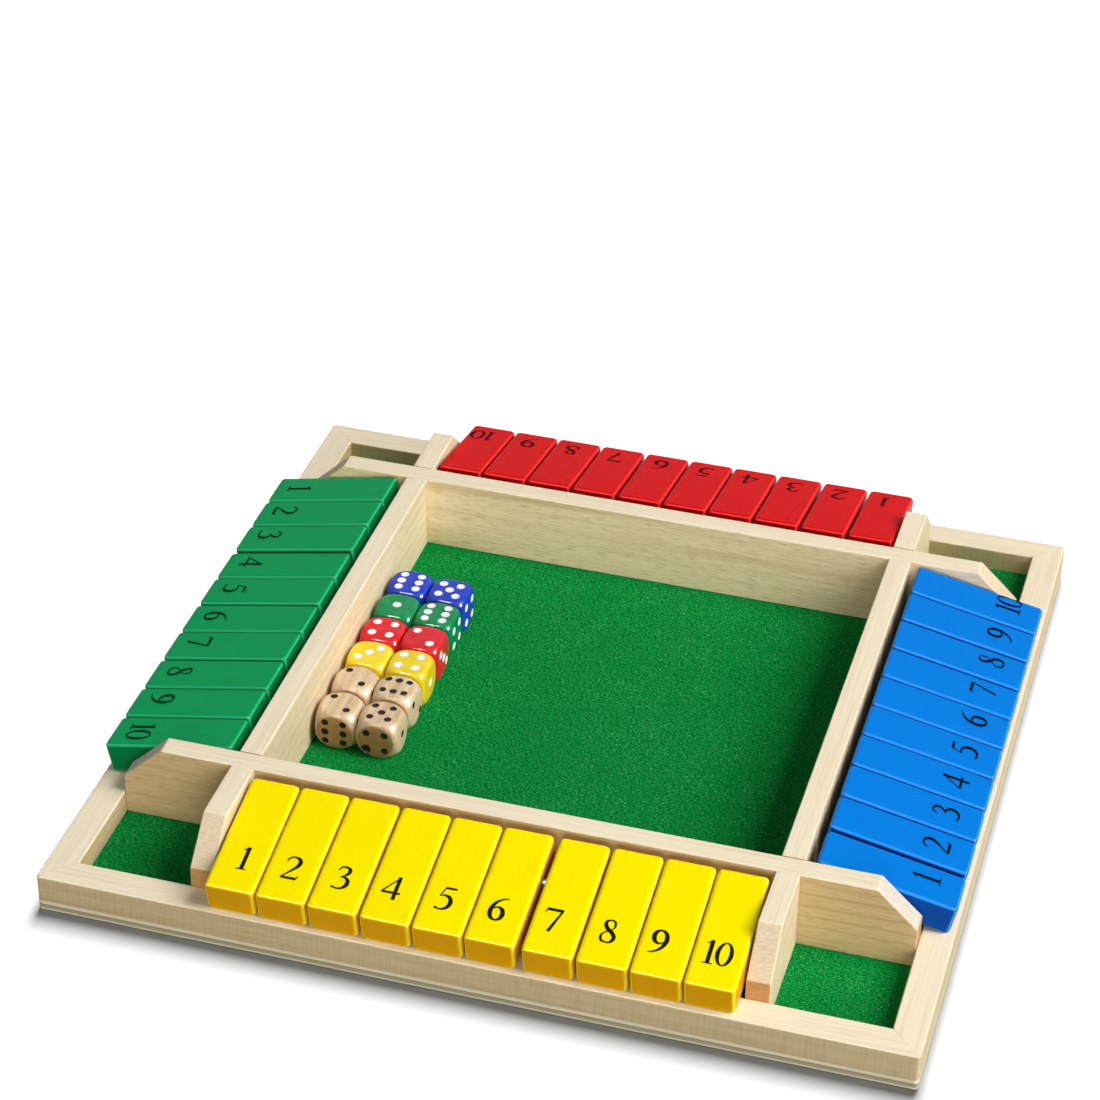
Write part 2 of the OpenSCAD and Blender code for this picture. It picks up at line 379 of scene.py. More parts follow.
@dataclass(frozen=True)
class PlanedPine:
    """Bare planed pine: cream edges, tan flats with fine brown pores, amber sawn ends; the cream tops and
    warmer flats are partly painted light and shade.
    """

    grain: Grain
    name: str = "planed_pine"
    # The tops' cream is partly the planed edge and partly painted light; the flats' tan is partly painted
    # shade.
    lit_edge_tone: str = "#F0E3C7"
    face_tone: str = "#EED5A6"
    slope_tone: str = "#E0D0B3"
    end_tone: str = "#C89A60"
    late_tone: str = "#B58648"
    pore_tone: str = "#9A6E34"
    pore_share: float = 0.4
    figure_share: float = 0.38
    figure_stretch: float = 0.07
    pith_at: tuple[float, float, float] = (0.037, 0.053, -0.071)
    ring_mm: float = 3.4
    pore_mm: Point = (0.3, 4.2)
    streak_mm: Point = (1.3, 55.0)
    grit_mm: Point = (0.45, 3.5)
    grit_share: float = 0.25
    saw_mm: Point = (0.7, 12.0)
    saw_slant: float = 0.3
    sawn_sides: bool = False

    def stretched(
        self, tree: bpy.types.NodeTree, coords: bpy.types.Node, size_mm: Point, detail: float
    ) -> bpy.types.NodeSocket:
        """Adds a noise drawn out along the grain.

        Args:
            tree: Node tree of the material.
            coords: Its texture coordinates.
            size_mm: Size of a feature across and along the grain, in millimetres.
            detail: Detail of the noise.

        Returns:
            The noise, from 0 to 1.
        """
        across, along = size_mm
        scale = [1 / ((along if i == self.grain.value else across) * MM) for i in range(3)]
        placed = add_node(tree, "Mapping", {"Scale": scale}, {"Vector": coords.outputs["Object"]})
        noise = add_node(
            tree,
            "TexNoise",
            {"Scale": 1.0, "Detail": detail, "Roughness": 0.6},
            {"Vector": placed.outputs["Vector"]},
        )
        return noise.outputs["Fac"]

    def material(self) -> bpy.types.Material:
        """Makes the wood: rings round a far pith, streaks, pores and a tone for each kind of face.

        Returns:
            The material.
        """
        material, tree, shader = new_material(f"{self.name}_{self.grain.name.lower()}")
        axis = self.grain.value
        coords = add_node(tree, "TexCoord")
        # Along the grain the figure changes about 14 times as slowly as across it.
        stretch = [self.figure_stretch if i == axis else 1.0 for i in range(3)]
        figure_at = add_node(
            tree,
            "Mapping",
            {"Scale": stretch, "Location": self.pith_at},
            {"Vector": coords.outputs["Object"]},
        )
        rings = add_node(
            tree,
            "TexWave",
            {
                "wave_type": "RINGS",
                "rings_direction": self.grain.name,
                "Scale": WAVE_RING / (self.ring_mm * MM),
                "Distortion": 7.0,
                "Detail": 2.0,
                "Detail Scale": 0.3,
                "Detail Roughness": 0.55,
            },
            {"Vector": figure_at.outputs["Vector"]},
        )
        late = add_node(
            tree,
            "MapRange",
            {"From Min": 0.68, "From Max": 1.0, "To Max": self.figure_share},
            {"Value": rings.outputs["Fac"]},
        )
        patches = add_node(
            tree, "TexNoise", {"Scale": 30.0, "Detail": 2.0}, {"Vector": figure_at.outputs["Vector"]}
        )
        patchy = add_node(
            tree, "MapRange", {"From Min": 0.38, "From Max": 0.66}, {"Value": patches.outputs["Fac"]}
        )
        late_share = add_node(
            tree, "Math", {"operation": "MULTIPLY"}, {0: late.outputs["Result"], 1: patchy.outputs["Result"]}
        )
        pores = self.stretched(tree, coords, self.pore_mm, 2.0)
        pore_share = add_node(
            tree, "MapRange", {"From Min": 0.52, "From Max": 0.7, "To Max": self.pore_share}, {"Value": pores}
        )
        streaks = self.stretched(tree, coords, self.streak_mm, 3.0)
        # Which face is seen: the planed edge on top, a flat side or a sawn end. The lighter top and the
        # warmer flats are partly painted light and shade.
        facing = add_node(tree, "SeparateXYZ", None, {"Vector": coords.outputs["Normal"]})
        up = add_node(
            tree,
            "MapRange",
            {"interpolation_type": "SMOOTHSTEP", "From Min": 0.35, "From Max": 0.8},
            {"Value": facing.outputs["Z"]},
        )
        end_on = add_node(tree, "Math", {"operation": "ABSOLUTE"}, {0: facing.outputs[axis]})
        end_share = add_node(
            tree,
            "MapRange",
            {"interpolation_type": "SMOOTHSTEP", "From Min": 0.6, "From Max": 0.95},
            {"Value": end_on.outputs[0]},
        )
        ground = add_node(
            tree,
            "Mix",
            {"data_type": "RGBA", 6: linear(self.face_tone), 7: linear(self.lit_edge_tone)},
            {0: up.outputs["Result"]},
        )
        lean = add_node(tree, "MapRange", {"From Min": 0.4, "From Max": 0.65}, {"Value": end_on.outputs[0]})
        sloped = add_node(
            tree,
            "Mix",
            {"data_type": "RGBA", 7: linear(self.slope_tone)},
            {0: lean.outputs["Result"], 6: ground.outputs[2]},
        )
        ended = add_node(
            tree,
            "Mix",
            {"data_type": "RGBA", 7: linear(self.end_tone)},
            {0: end_share.outputs["Result"], 6: sloped.outputs[2]},
        )
        # Figure and pores show less on the planed edges, slopes and ends than on the flats.
        cut_across = add_node(tree, "Math", {"operation": "MULTIPLY", 1: 0.7}, {0: lean.outputs["Result"]})
        calm = add_node(
            tree, "Math", {"operation": "MAXIMUM"}, {0: up.outputs["Result"], 1: cut_across.outputs[0]}
        )
        fade = add_node(tree, "MapRange", {"To Min": 1.0, "To Max": 0.15}, {"Value": calm.outputs[0]})
        colour = ended.outputs[2]
        for share, dark_tone in ((late_share, self.late_tone), (pore_share, self.pore_tone)):
            shown = add_node(
                tree, "Math", {"operation": "MULTIPLY"}, {0: share.outputs[0], 1: fade.outputs["Result"]}
            )
            darkened = add_node(
                tree,
                "Mix",
                {"data_type": "RGBA", 7: linear(dark_tone)},
                {0: shown.outputs[0], 6: colour},
            )
            colour = darkened.outputs[2]
        streak_tone = add_node(
            tree,
            "ValToRGB",
            {"stops": [(0.3, "#E2D6C3"), (0.5, "#F9F5EE"), (0.68, "#FFFFFF")]},
            {"Fac": streaks},
        )
        # Streaks run along the grain, so the slopes and the sawn ends hardly show them.
        streak_share = add_node(
            tree, "MapRange", {"To Min": 0.42, "To Max": 0.1}, {"Value": lean.outputs["Result"]}
        )
        streaked = add_node(
            tree,
            "Mix",
            {"data_type": "RGBA", "blend_type": "MULTIPLY"},
            {0: streak_share.outputs["Result"], 6: colour, 7: streak_tone.outputs["Color"]},
        )
        # The saw leaves fine slanting lines across the slopes and ends.
        across, along = self.grit_mm
        grit_at = add_node(
            tree,
            "Mapping",
            {
                "vector_type": "TEXTURE",
                "Rotation": (0, 0, self.saw_slant),
                "Scale": [(across if i in (axis, 2) else along) * MM for i in range(3)],
            },
            {"Vector": coords.outputs["Object"]},
        )
        grit = add_node(
            tree,
            "TexNoise",
            {"Scale": 1.0, "Detail": 2.0, "Roughness": 0.6},
            {"Vector": grit_at.outputs["Vector"]},
        )
        grit_tone = add_node(
            tree, "ValToRGB", {"stops": [(0.36, "#C4A27A"), (0.56, "#FFFFFF")]}, {"Fac": grit.outputs["Fac"]}
        )
        grit_shown = add_node(
            tree, "Math", {"operation": "MULTIPLY", 1: self.grit_share}, {0: lean.outputs["Result"]}
        )
        gritty = add_node(
            tree,
            "Mix",
            {"data_type": "RGBA", "blend_type": "MULTIPLY"},
            {0: grit_shown.outputs[0], 6: streaked.outputs[2], 7: grit_tone.outputs["Color"]},
        )
        colour, height = gritty.outputs[2], pores
        if self.sawn_sides:
            colour, height = self.add_saw_marks(tree, coords, colour, pores)
        relief = add_node(tree, "Bump", {"Strength": 0.3, "Distance": 0.07 * MM}, {"Height": height})
        tree.links.new(colour, shader.inputs["Base Color"])
        tree.links.new(relief.outputs["Normal"], shader.inputs["Normal"])
        shader.inputs["Roughness"].default_value = 0.6
        shader.inputs["IOR"].default_value = 1.5
        shader.inputs["Specular IOR Level"].default_value = 0.06
        return material

    def add_saw_marks(
        self,
        tree: bpy.types.NodeTree,
        coords: bpy.types.Node,
        colour: bpy.types.NodeSocket,
        height: bpy.types.NodeSocket,
    ) -> tuple[bpy.types.NodeSocket, bpy.types.NodeSocket]:
        """Draws fine upright saw marks on the sides that weren't planed.

        Args:
            tree: Node tree of the material.
            coords: Its texture coordinates.
            colour: Colour of the wood.
            height: Relief of the wood.

        Returns:
            Colour and relief with the marks.
        """
        across, upright = self.saw_mm
        marks_at = add_node(
            tree,
            "Mapping",
            {"Scale": (1 / (across * MM), 1 / (across * MM), 1 / (upright * MM))},
            {"Vector": coords.outputs["Object"]},
        )
        marks = add_node(
            tree, "TexNoise", {"Scale": 1.0, "Detail": 2.0}, {"Vector": marks_at.outputs["Vector"]}
        )
        tone = add_node(
            tree, "ValToRGB", {"stops": [(0.36, "#F1EDE6"), (0.56, "#FFFFFF")]}, {"Fac": marks.outputs["Fac"]}
        )
        facing = add_node(tree, "SeparateXYZ", None, {"Vector": coords.outputs["Normal"]})
        tilt = add_node(tree, "Math", {"operation": "ABSOLUTE"}, {0: facing.outputs["Z"]})
        side = add_node(tree, "MapRange", {"To Min": 0.6, "To Max": 0.0}, {"Value": tilt.outputs[0]})
        scored = add_node(tree, "Math", {"operation": "MULTIPLY", 1: 0.04}, {0: side.outputs["Result"]})
        marked = add_node(
            tree,
            "Mix",
            {"data_type": "RGBA", "blend_type": "MULTIPLY"},
            {0: side.outputs["Result"], 6: colour, 7: tone.outputs["Color"]},
        )
        relief = add_node(
            tree,
            "Math",
            {"operation": "MULTIPLY_ADD"},
            {0: marks.outputs["Fac"], 1: scored.outputs[0], 2: height},
        )
        return marked.outputs[2], relief.outputs[0]


@dataclass(frozen=True)
class ThreePlyBirch:
    """Thin plywood: pale face plies, a darker core and glue lines at the edge, and a painted shadow along its
    foot.
    """

    thickness_mm: float = 4.2
    wander_share: float = 0.03
    face_tone: str = "#E6D9B8"
    bands: Stops = (
        # The lowest stops are near-black: painted shadow where the board stands on the table.
        (0.0, "#15130C"),
        (0.11, "#2C281A"),
        (0.15, "#D7CDAD"),
        (0.3, "#DDD3B4"),
        (0.35, "#8A8260"),
        (0.42, "#AEA47C"),
        (0.52, "#A0976F"),
        (0.655, "#8C8462"),
        (0.72, "#E0D5B6"),
        (1.0, "#D8CBA8"),
    )

    def material(self) -> bpy.types.Material:
        """Makes the plywood, banded by height at its edge.

        Returns:
            The material.
        """
        material, tree, shader = new_material("three_ply_birch")
        coords = add_node(tree, "TexCoord")
        place = add_node(tree, "SeparateXYZ", None, {"Vector": coords.outputs["Object"]})
        wander = add_node(
            tree, "TexNoise", {"Scale": 90.0, "Detail": 2.0}, {"Vector": coords.outputs["Object"]}
        )
        # The plies wander up and down by a few hundredths of the thickness.
        sway = self.wander_share * self.thickness_mm * MM
        shift = add_node(
            tree, "MapRange", {"To Min": -sway, "To Max": sway}, {"Value": wander.outputs["Fac"]}
        )
        height = add_node(
            tree, "Math", {"operation": "ADD"}, {0: place.outputs["Z"], 1: shift.outputs["Result"]}
        )
        share = add_node(
            tree, "MapRange", {"From Max": self.thickness_mm * MM}, {"Value": height.outputs[0]}
        )
        edge = add_node(tree, "ValToRGB", {"stops": self.bands}, {"Fac": share.outputs["Result"]})
        facing = add_node(tree, "SeparateXYZ", None, {"Vector": coords.outputs["Normal"]})
        flat = add_node(tree, "Math", {"operation": "ABSOLUTE"}, {0: facing.outputs["Z"]})
        veneer_at = add_node(
            tree, "Mapping", {"Scale": (9.0, 240.0, 1.0)}, {"Vector": coords.outputs["Object"]}
        )
        veneer = add_node(
            tree,
            "TexNoise",
            {"Scale": 1.0, "Detail": 5.0, "Distortion": 0.6},
            {"Vector": veneer_at.outputs["Vector"]},
        )
        sheet = add_node(
            tree,
            "ValToRGB",
            {"stops": [(0.3, "#CDB98C"), (0.5, self.face_tone), (0.7, "#F0E6CC")]},
            {"Fac": veneer.outputs["Fac"]},
        )
        mixed = add_node(
            tree,
            "Mix",
            {"data_type": "RGBA"},
            {0: flat.outputs[0], 6: edge.outputs["Color"], 7: sheet.outputs["Color"]},
        )
        fuzz = add_node(
            tree, "TexNoise", {"Scale": 1800.0, "Detail": 2.0}, {"Vector": coords.outputs["Object"]}
        )
        relief = add_node(
            tree, "Bump", {"Strength": 0.5, "Distance": 0.1 * MM}, {"Height": fuzz.outputs["Fac"]}
        )
        tree.links.new(mixed.outputs[2], shader.inputs["Base Color"])
        tree.links.new(relief.outputs["Normal"], shader.inputs["Normal"])
        shader.inputs["Roughness"].default_value = 0.7
        shader.inputs["Specular IOR Level"].default_value = 0.3
        return material


@dataclass(frozen=True)
class NeedledFelt:
    """Needled craft felt: matted short fibres combed one way, the topmost ones painted lighter as glints."""

    deep: str = "#014A18"
    body: str = "#067C31"
    bright: str = "#18A048"
    fibre_glint: str = "#78E090"
    fibre_mm: Point = (0.24, 1.0)
    lay_degrees: tuple[float, ...] = (48.0, 80.0, 15.0)

    def material(self) -> bpy.types.Material:
        """Makes the felt from three lays of short fibres over a matted ground.

        Returns:
            The material.
        """
        material, tree, shader = new_material("needled_felt")
        coords = add_node(tree, "TexCoord")
        across, along = self.fibre_mm
        layers: list[bpy.types.NodeSocket] = []
        for lay in self.lay_degrees:
            turned = add_node(
                tree,
                "Mapping",
                {"Rotation": (0, 0, math.radians(-lay))},
                {"Vector": coords.outputs["Object"]},
            )
            drawn = add_node(
                tree,
                "Mapping",
                {"Scale": (1 / (along * MM), 1 / (across * MM), 1 / (across * MM))},
                {"Vector": turned.outputs["Vector"]},
            )
            layer = add_node(
                tree,
                "TexNoise",
                {"Scale": 1.0, "Detail": 2.5, "Distortion": 0.3},
                {"Vector": drawn.outputs["Vector"]},
            )
            layers.append(layer.outputs["Fac"])
        pair = add_node(tree, "Math", {"operation": "ADD"}, {0: layers[0], 1: layers[1]})
        sum_of_three = add_node(tree, "Math", {"operation": "ADD"}, {0: pair.outputs[0], 1: layers[2]})
        matted = add_node(tree, "Math", {"operation": "DIVIDE", 1: 3.0}, {0: sum_of_three.outputs[0]})
        ground = add_node(
            tree,
            "ValToRGB",
            {"stops": [(0.43, self.deep), (0.5, self.body), (0.57, self.bright)]},
            {"Fac": matted.outputs[0]},
        )
        # The topmost fibres take a bright tone: painted glints.
        top = add_node(tree, "Math", {"operation": "MAXIMUM"}, {0: layers[0], 1: layers[2]})
        lit = add_node(tree, "MapRange", {"From Min": 0.63, "From Max": 0.74}, {"Value": top.outputs[0]})
        clumps = add_node(
            tree, "TexNoise", {"Scale": 60.0, "Detail": 3.0}, {"Vector": coords.outputs["Object"]}
        )
        clump_share = add_node(
            tree,
            "MapRange",
            {"From Min": 0.35, "From Max": 0.65, "To Min": 0.25},
            {"Value": clumps.outputs["Fac"]},
        )
        share = add_node(
            tree,
            "Math",
            {"operation": "MULTIPLY"},
            {0: lit.outputs["Result"], 1: clump_share.outputs["Result"]},
        )
        coloured = add_node(
            tree,
            "Mix",
            {"data_type": "RGBA", 7: linear(self.fibre_glint)},
            {0: share.outputs[0], 6: ground.outputs["Color"]},
        )
        relief = add_node(
            tree, "Bump", {"Strength": 0.7, "Distance": 0.22 * MM}, {"Height": matted.outputs[0]}
        )
        tree.links.new(coloured.outputs[2], shader.inputs["Base Color"])
        tree.links.new(relief.outputs["Normal"], shader.inputs["Normal"])
        shader.inputs["Roughness"].default_value = 1.0
        shader.inputs["Specular IOR Level"].default_value = 0.005
        return material


@dataclass(frozen=True)
class DrawnSteel:
    """Plain drawn steel: dark grey metal, a little duller in some places than in others."""

    tone: str = "#74777B"

    def material(self) -> bpy.types.Material:
        """Makes the steel.

        Returns:
            The material.
        """
        material, tree, shader = new_material("drawn_steel")
        coords = add_node(tree, "TexCoord")
        dulling = add_node(
            tree, "TexNoise", {"Scale": 700.0, "Detail": 3.0}, {"Vector": coords.outputs["Object"]}
        )
        rough = add_node(
            tree, "MapRange", {"To Min": 0.28, "To Max": 0.45}, {"Value": dulling.outputs["Fac"]}
        )
        tree.links.new(rough.outputs["Result"], shader.inputs["Roughness"])
        shader.inputs["Base Color"].default_value = linear(self.tone)
        shader.inputs["Metallic"].default_value = 1.0
        return material


@dataclass(frozen=True)
class SprayedPaint:
    """Glossy sprayed paint on wood, with painted highlights on the arrises and painted shade on the sides and
    ends.
    """

    name: str
    top: str
    deep: str
    # The side tone is painted shade on the sides and ends.
    side: str
    # The arris tone is a painted highlight on the rounded edges.
    highlight_tone: str
    grain: Grain
    gloss: float = 0.03

    def material(self) -> bpy.types.Material:
        """Makes the paint.

        Returns:
            The material.
        """
        material, tree, shader = new_material(f"sprayed_paint_{self.name}")
        axis = self.grain.value
        coords = add_node(tree, "TexCoord")
        streaks_at = add_node(
            tree,
            "Mapping",
            {"Scale": [45.0 if i == axis else 800.0 for i in range(3)]},
            {"Vector": coords.outputs["Object"]},
        )
        streaks = add_node(
            tree,
            "TexNoise",
            {"Scale": 1.0, "Detail": 3.0, "Roughness": 0.55},
            {"Vector": streaks_at.outputs["Vector"]},
        )
        coat = add_node(
            tree,
            "ValToRGB",
            {"stops": [(0.2, self.deep), (0.5, self.top)]},
            {"Fac": streaks.outputs["Fac"]},
        )
        # Faces that don't face up take the side tone: painted shade.
        facing = add_node(tree, "SeparateXYZ", None, {"Vector": coords.outputs["Normal"]})
        flat = add_node(tree, "Math", {"operation": "ABSOLUTE"}, {0: facing.outputs["Z"]})
        shade_share = add_node(
            tree,
            "MapRange",
            {
                "interpolation_type": "SMOOTHSTEP",
                "From Min": 0.3,
                "From Max": 0.75,
                "To Min": 1.0,
                "To Max": 0.0,
            },
            {"Value": flat.outputs[0]},
        )
        shaded = add_node(
            tree,
            "Mix",
            {"data_type": "RGBA", 7: linear(self.side)},
            {0: shade_share.outputs["Result"], 6: coat.outputs["Color"]},
        )
        # The sum of the fourth powers of a normal is 1 on a flat and 0.5 or less on a rounded edge, which is
        # given a lighter tone as a painted highlight.
        squares = add_node(
            tree,
            "VectorMath",
            {"operation": "MULTIPLY"},
            {0: coords.outputs["Normal"], 1: coords.outputs["Normal"]},
        )
        fourths = add_node(
            tree, "VectorMath", {"operation": "DOT_PRODUCT"}, {0: squares.outputs[0], 1: squares.outputs[0]}
        )
        highlight_share = add_node(
            tree,
            "MapRange",
            {
                "interpolation_type": "SMOOTHSTEP",
                "From Min": 0.5,
                "From Max": 0.75,
                "To Min": 0.75,
                "To Max": 0.0,
            },
            {"Value": fourths.outputs["Value"]},
        )
        highlighted = add_node(
            tree,
            "Mix",
            {"data_type": "RGBA", 7: linear(self.highlight_tone)},
            {0: highlight_share.outputs["Result"], 6: shaded.outputs[2]},
        )
        peel = add_node(
            tree, "TexNoise", {"Scale": 650.0, "Detail": 1.0}, {"Vector": coords.outputs["Object"]}
        )
        film = add_node(
            tree,
            "Math",
            {"operation": "MULTIPLY_ADD", 1: 0.6},
            {0: streaks.outputs["Fac"], 2: peel.outputs["Fac"]},
        )
        relief = add_node(
            tree, "Bump", {"Strength": 0.2, "Distance": 0.05 * MM}, {"Height": film.outputs[0]}
        )
        tree.links.new(highlighted.outputs[2], shader.inputs["Base Color"])
        tree.links.new(relief.outputs["Normal"], shader.inputs["Normal"])
        shader.inputs["Roughness"].default_value = 0.22
        shader.inputs["IOR"].default_value = 1.5
        shader.inputs["Specular IOR Level"].default_value = self.gloss
        return material


@dataclass(frozen=True)
class StampedInk:
    """Hot-stamped foil in the numbers: dull, thin and a little uneven."""

    name: str
    tone: str
    worn: str

    def material(self) -> bpy.types.Material:
        """Makes the ink.

        Returns:
            The material.
        """
        material, tree, shader = new_material(f"stamped_ink_{self.name}")
        coords = add_node(tree, "TexCoord")
        wear = add_node(
            tree,
            "TexNoise",
            {"Scale": 1100.0, "Detail": 3.0, "Roughness": 0.65},
            {"Vector": coords.outputs["Object"]},
        )
        tone = add_node(
            tree, "ValToRGB", {"stops": [(0.45, self.tone), (0.72, self.worn)]}, {"Fac": wear.outputs["Fac"]}
        )
        tree.links.new(tone.outputs["Color"], shader.inputs["Base Color"])
        shader.inputs["Roughness"].default_value = 0.5
        shader.inputs["Specular IOR Level"].default_value = 0.01
        return material


@dataclass(frozen=True)
class TumbledAcrylic:
    """Moulded and tumbled acrylic: deep even colour, high gloss, soft edges."""

    name: str
    tone: str
    cloudy: str

    def material(self) -> bpy.types.Material:
        """Makes the plastic.

        Returns:
            The material.
        """
        material, tree, shader = new_material(f"tumbled_acrylic_{self.name}")
        coords = add_node(tree, "TexCoord")
        swirl = add_node(
            tree,
            "TexNoise",
            {"Scale": 140.0, "Detail": 2.0, "Distortion": 1.2},
            {"Vector": coords.outputs["Object"]},
        )
        tone = add_node(
            tree,
            "ValToRGB",
            {"stops": [(0.35, self.tone), (0.8, self.cloudy)]},
            {"Fac": swirl.outputs["Fac"]},
        )
        polish = add_node(
            tree, "TexNoise", {"Scale": 420.0, "Detail": 1.0}, {"Vector": coords.outputs["Object"]}
        )
        relief = add_node(
            tree, "Bump", {"Strength": 0.12, "Distance": 0.04 * MM}, {"Height": polish.outputs["Fac"]}
        )
        tree.links.new(tone.outputs["Color"], shader.inputs["Base Color"])
        tree.links.new(relief.outputs["Normal"], shader.inputs["Normal"])
        shader.inputs["Roughness"].default_value = 0.08
        shader.inputs["IOR"].default_value = 1.49
        shader.inputs["Specular IOR Level"].default_value = 0.2
        return material


@dataclass(frozen=True)
class PipPaint:
    """Paint in the dimples of a die: opaque and slightly glossy."""

    name: str
    tone: str
    shade_tone: str
    roughness: float

    def material(self) -> bpy.types.Material:
        """Makes the paint.

        Returns:
            The material.
        """
        material, tree, shader = new_material(f"pip_paint_{self.name}")
        coords = add_node(tree, "TexCoord")
        mottle = add_node(
            tree, "TexNoise", {"Scale": 900.0, "Detail": 2.0}, {"Vector": coords.outputs["Object"]}
        )
        tone = add_node(
            tree,
            "ValToRGB",
            {"stops": [(0.4, self.tone), (0.8, self.shade_tone)]},
            {"Fac": mottle.outputs["Fac"]},
        )
        tree.links.new(tone.outputs["Color"], shader.inputs["Base Color"])
        shader.inputs["Roughness"].default_value = self.roughness
        shader.inputs["Specular IOR Level"].default_value = 0.12
        return material


@dataclass(frozen=True)
class WaxedBeech:
    """Turned and waxed beech: pale tan with short dark flecks, and darker flat ends, partly end grain and
    partly painted shade.
    """

    grain: Grain
    pale: str = "#E9D2B6"
    middle: str = "#DABF9A"
    tan: str = "#CCAC84"
    fleck: str = "#7E5630"
    end: str = "#BE844A"

    def material(self) -> bpy.types.Material:
        """Makes the wood.

        Returns:
            The material.
        """
        material, tree, shader = new_material(f"waxed_beech_{self.grain.name.lower()}")
        axis = self.grain.value
        coords = add_node(tree, "TexCoord")
        bands_at = add_node(
            tree,
            "Mapping",
            {"Scale": [30.0 if i == axis else 480.0 for i in range(3)]},
            {"Vector": coords.outputs["Object"]},
        )
        bands = add_node(
            tree,
            "TexNoise",
            {"Scale": 1.0, "Detail": 3.0, "Distortion": 0.5},
            {"Vector": bands_at.outputs["Vector"]},
        )
        ground = add_node(
            tree,
            "ValToRGB",
            {"stops": [(0.3, self.tan), (0.5, self.middle), (0.7, self.pale)]},
            {"Fac": bands.outputs["Fac"]},
        )
        flecks_at = add_node(
            tree,
            "Mapping",
            {"Scale": [520.0 if i == axis else 2600.0 for i in range(3)]},
            {"Vector": coords.outputs["Object"]},
        )
        flecks = add_node(
            tree, "TexNoise", {"Scale": 1.0, "Detail": 2.0}, {"Vector": flecks_at.outputs["Vector"]}
        )
        fleck_share = add_node(
            tree,
            "MapRange",
            {"From Min": 0.58, "From Max": 0.76, "To Max": 0.6},
            {"Value": flecks.outputs["Fac"]},
        )
        flecked = add_node(
            tree,
            "Mix",
            {"data_type": "RGBA", 7: linear(self.fleck)},
            {0: fleck_share.outputs["Result"], 6: ground.outputs["Color"]},
        )
        facing = add_node(tree, "SeparateXYZ", None, {"Vector": coords.outputs["Normal"]})
        # Faces across the grain take the end tone: partly end grain, partly painted shade on the dice's
        # fronts.
        end_on = add_node(tree, "Math", {"operation": "ABSOLUTE"}, {0: facing.outputs[axis]})
        end_share = add_node(
            tree,
            "MapRange",
            {"interpolation_type": "SMOOTHSTEP", "From Min": 0.86, "From Max": 0.98, "To Max": 0.8},
            {"Value": end_on.outputs[0]},
        )
        ended = add_node(
            tree,
            "Mix",
            {"data_type": "RGBA", 7: linear(self.end)},
            {0: end_share.outputs["Result"], 6: flecked.outputs[2]},
        )
        relief = add_node(
            tree, "Bump", {"Strength": 0.3, "Distance": 0.04 * MM}, {"Height": flecks.outputs["Fac"]}
        )
        tree.links.new(ended.outputs[2], shader.inputs["Base Color"])
        tree.links.new(relief.outputs["Normal"], shader.inputs["Normal"])
        shader.inputs["Roughness"].default_value = 0.32
        shader.inputs["IOR"].default_value = 1.5
        shader.inputs["Specular IOR Level"].default_value = 0.1
        return material


# --- The tray ---------------------------------------------------------------


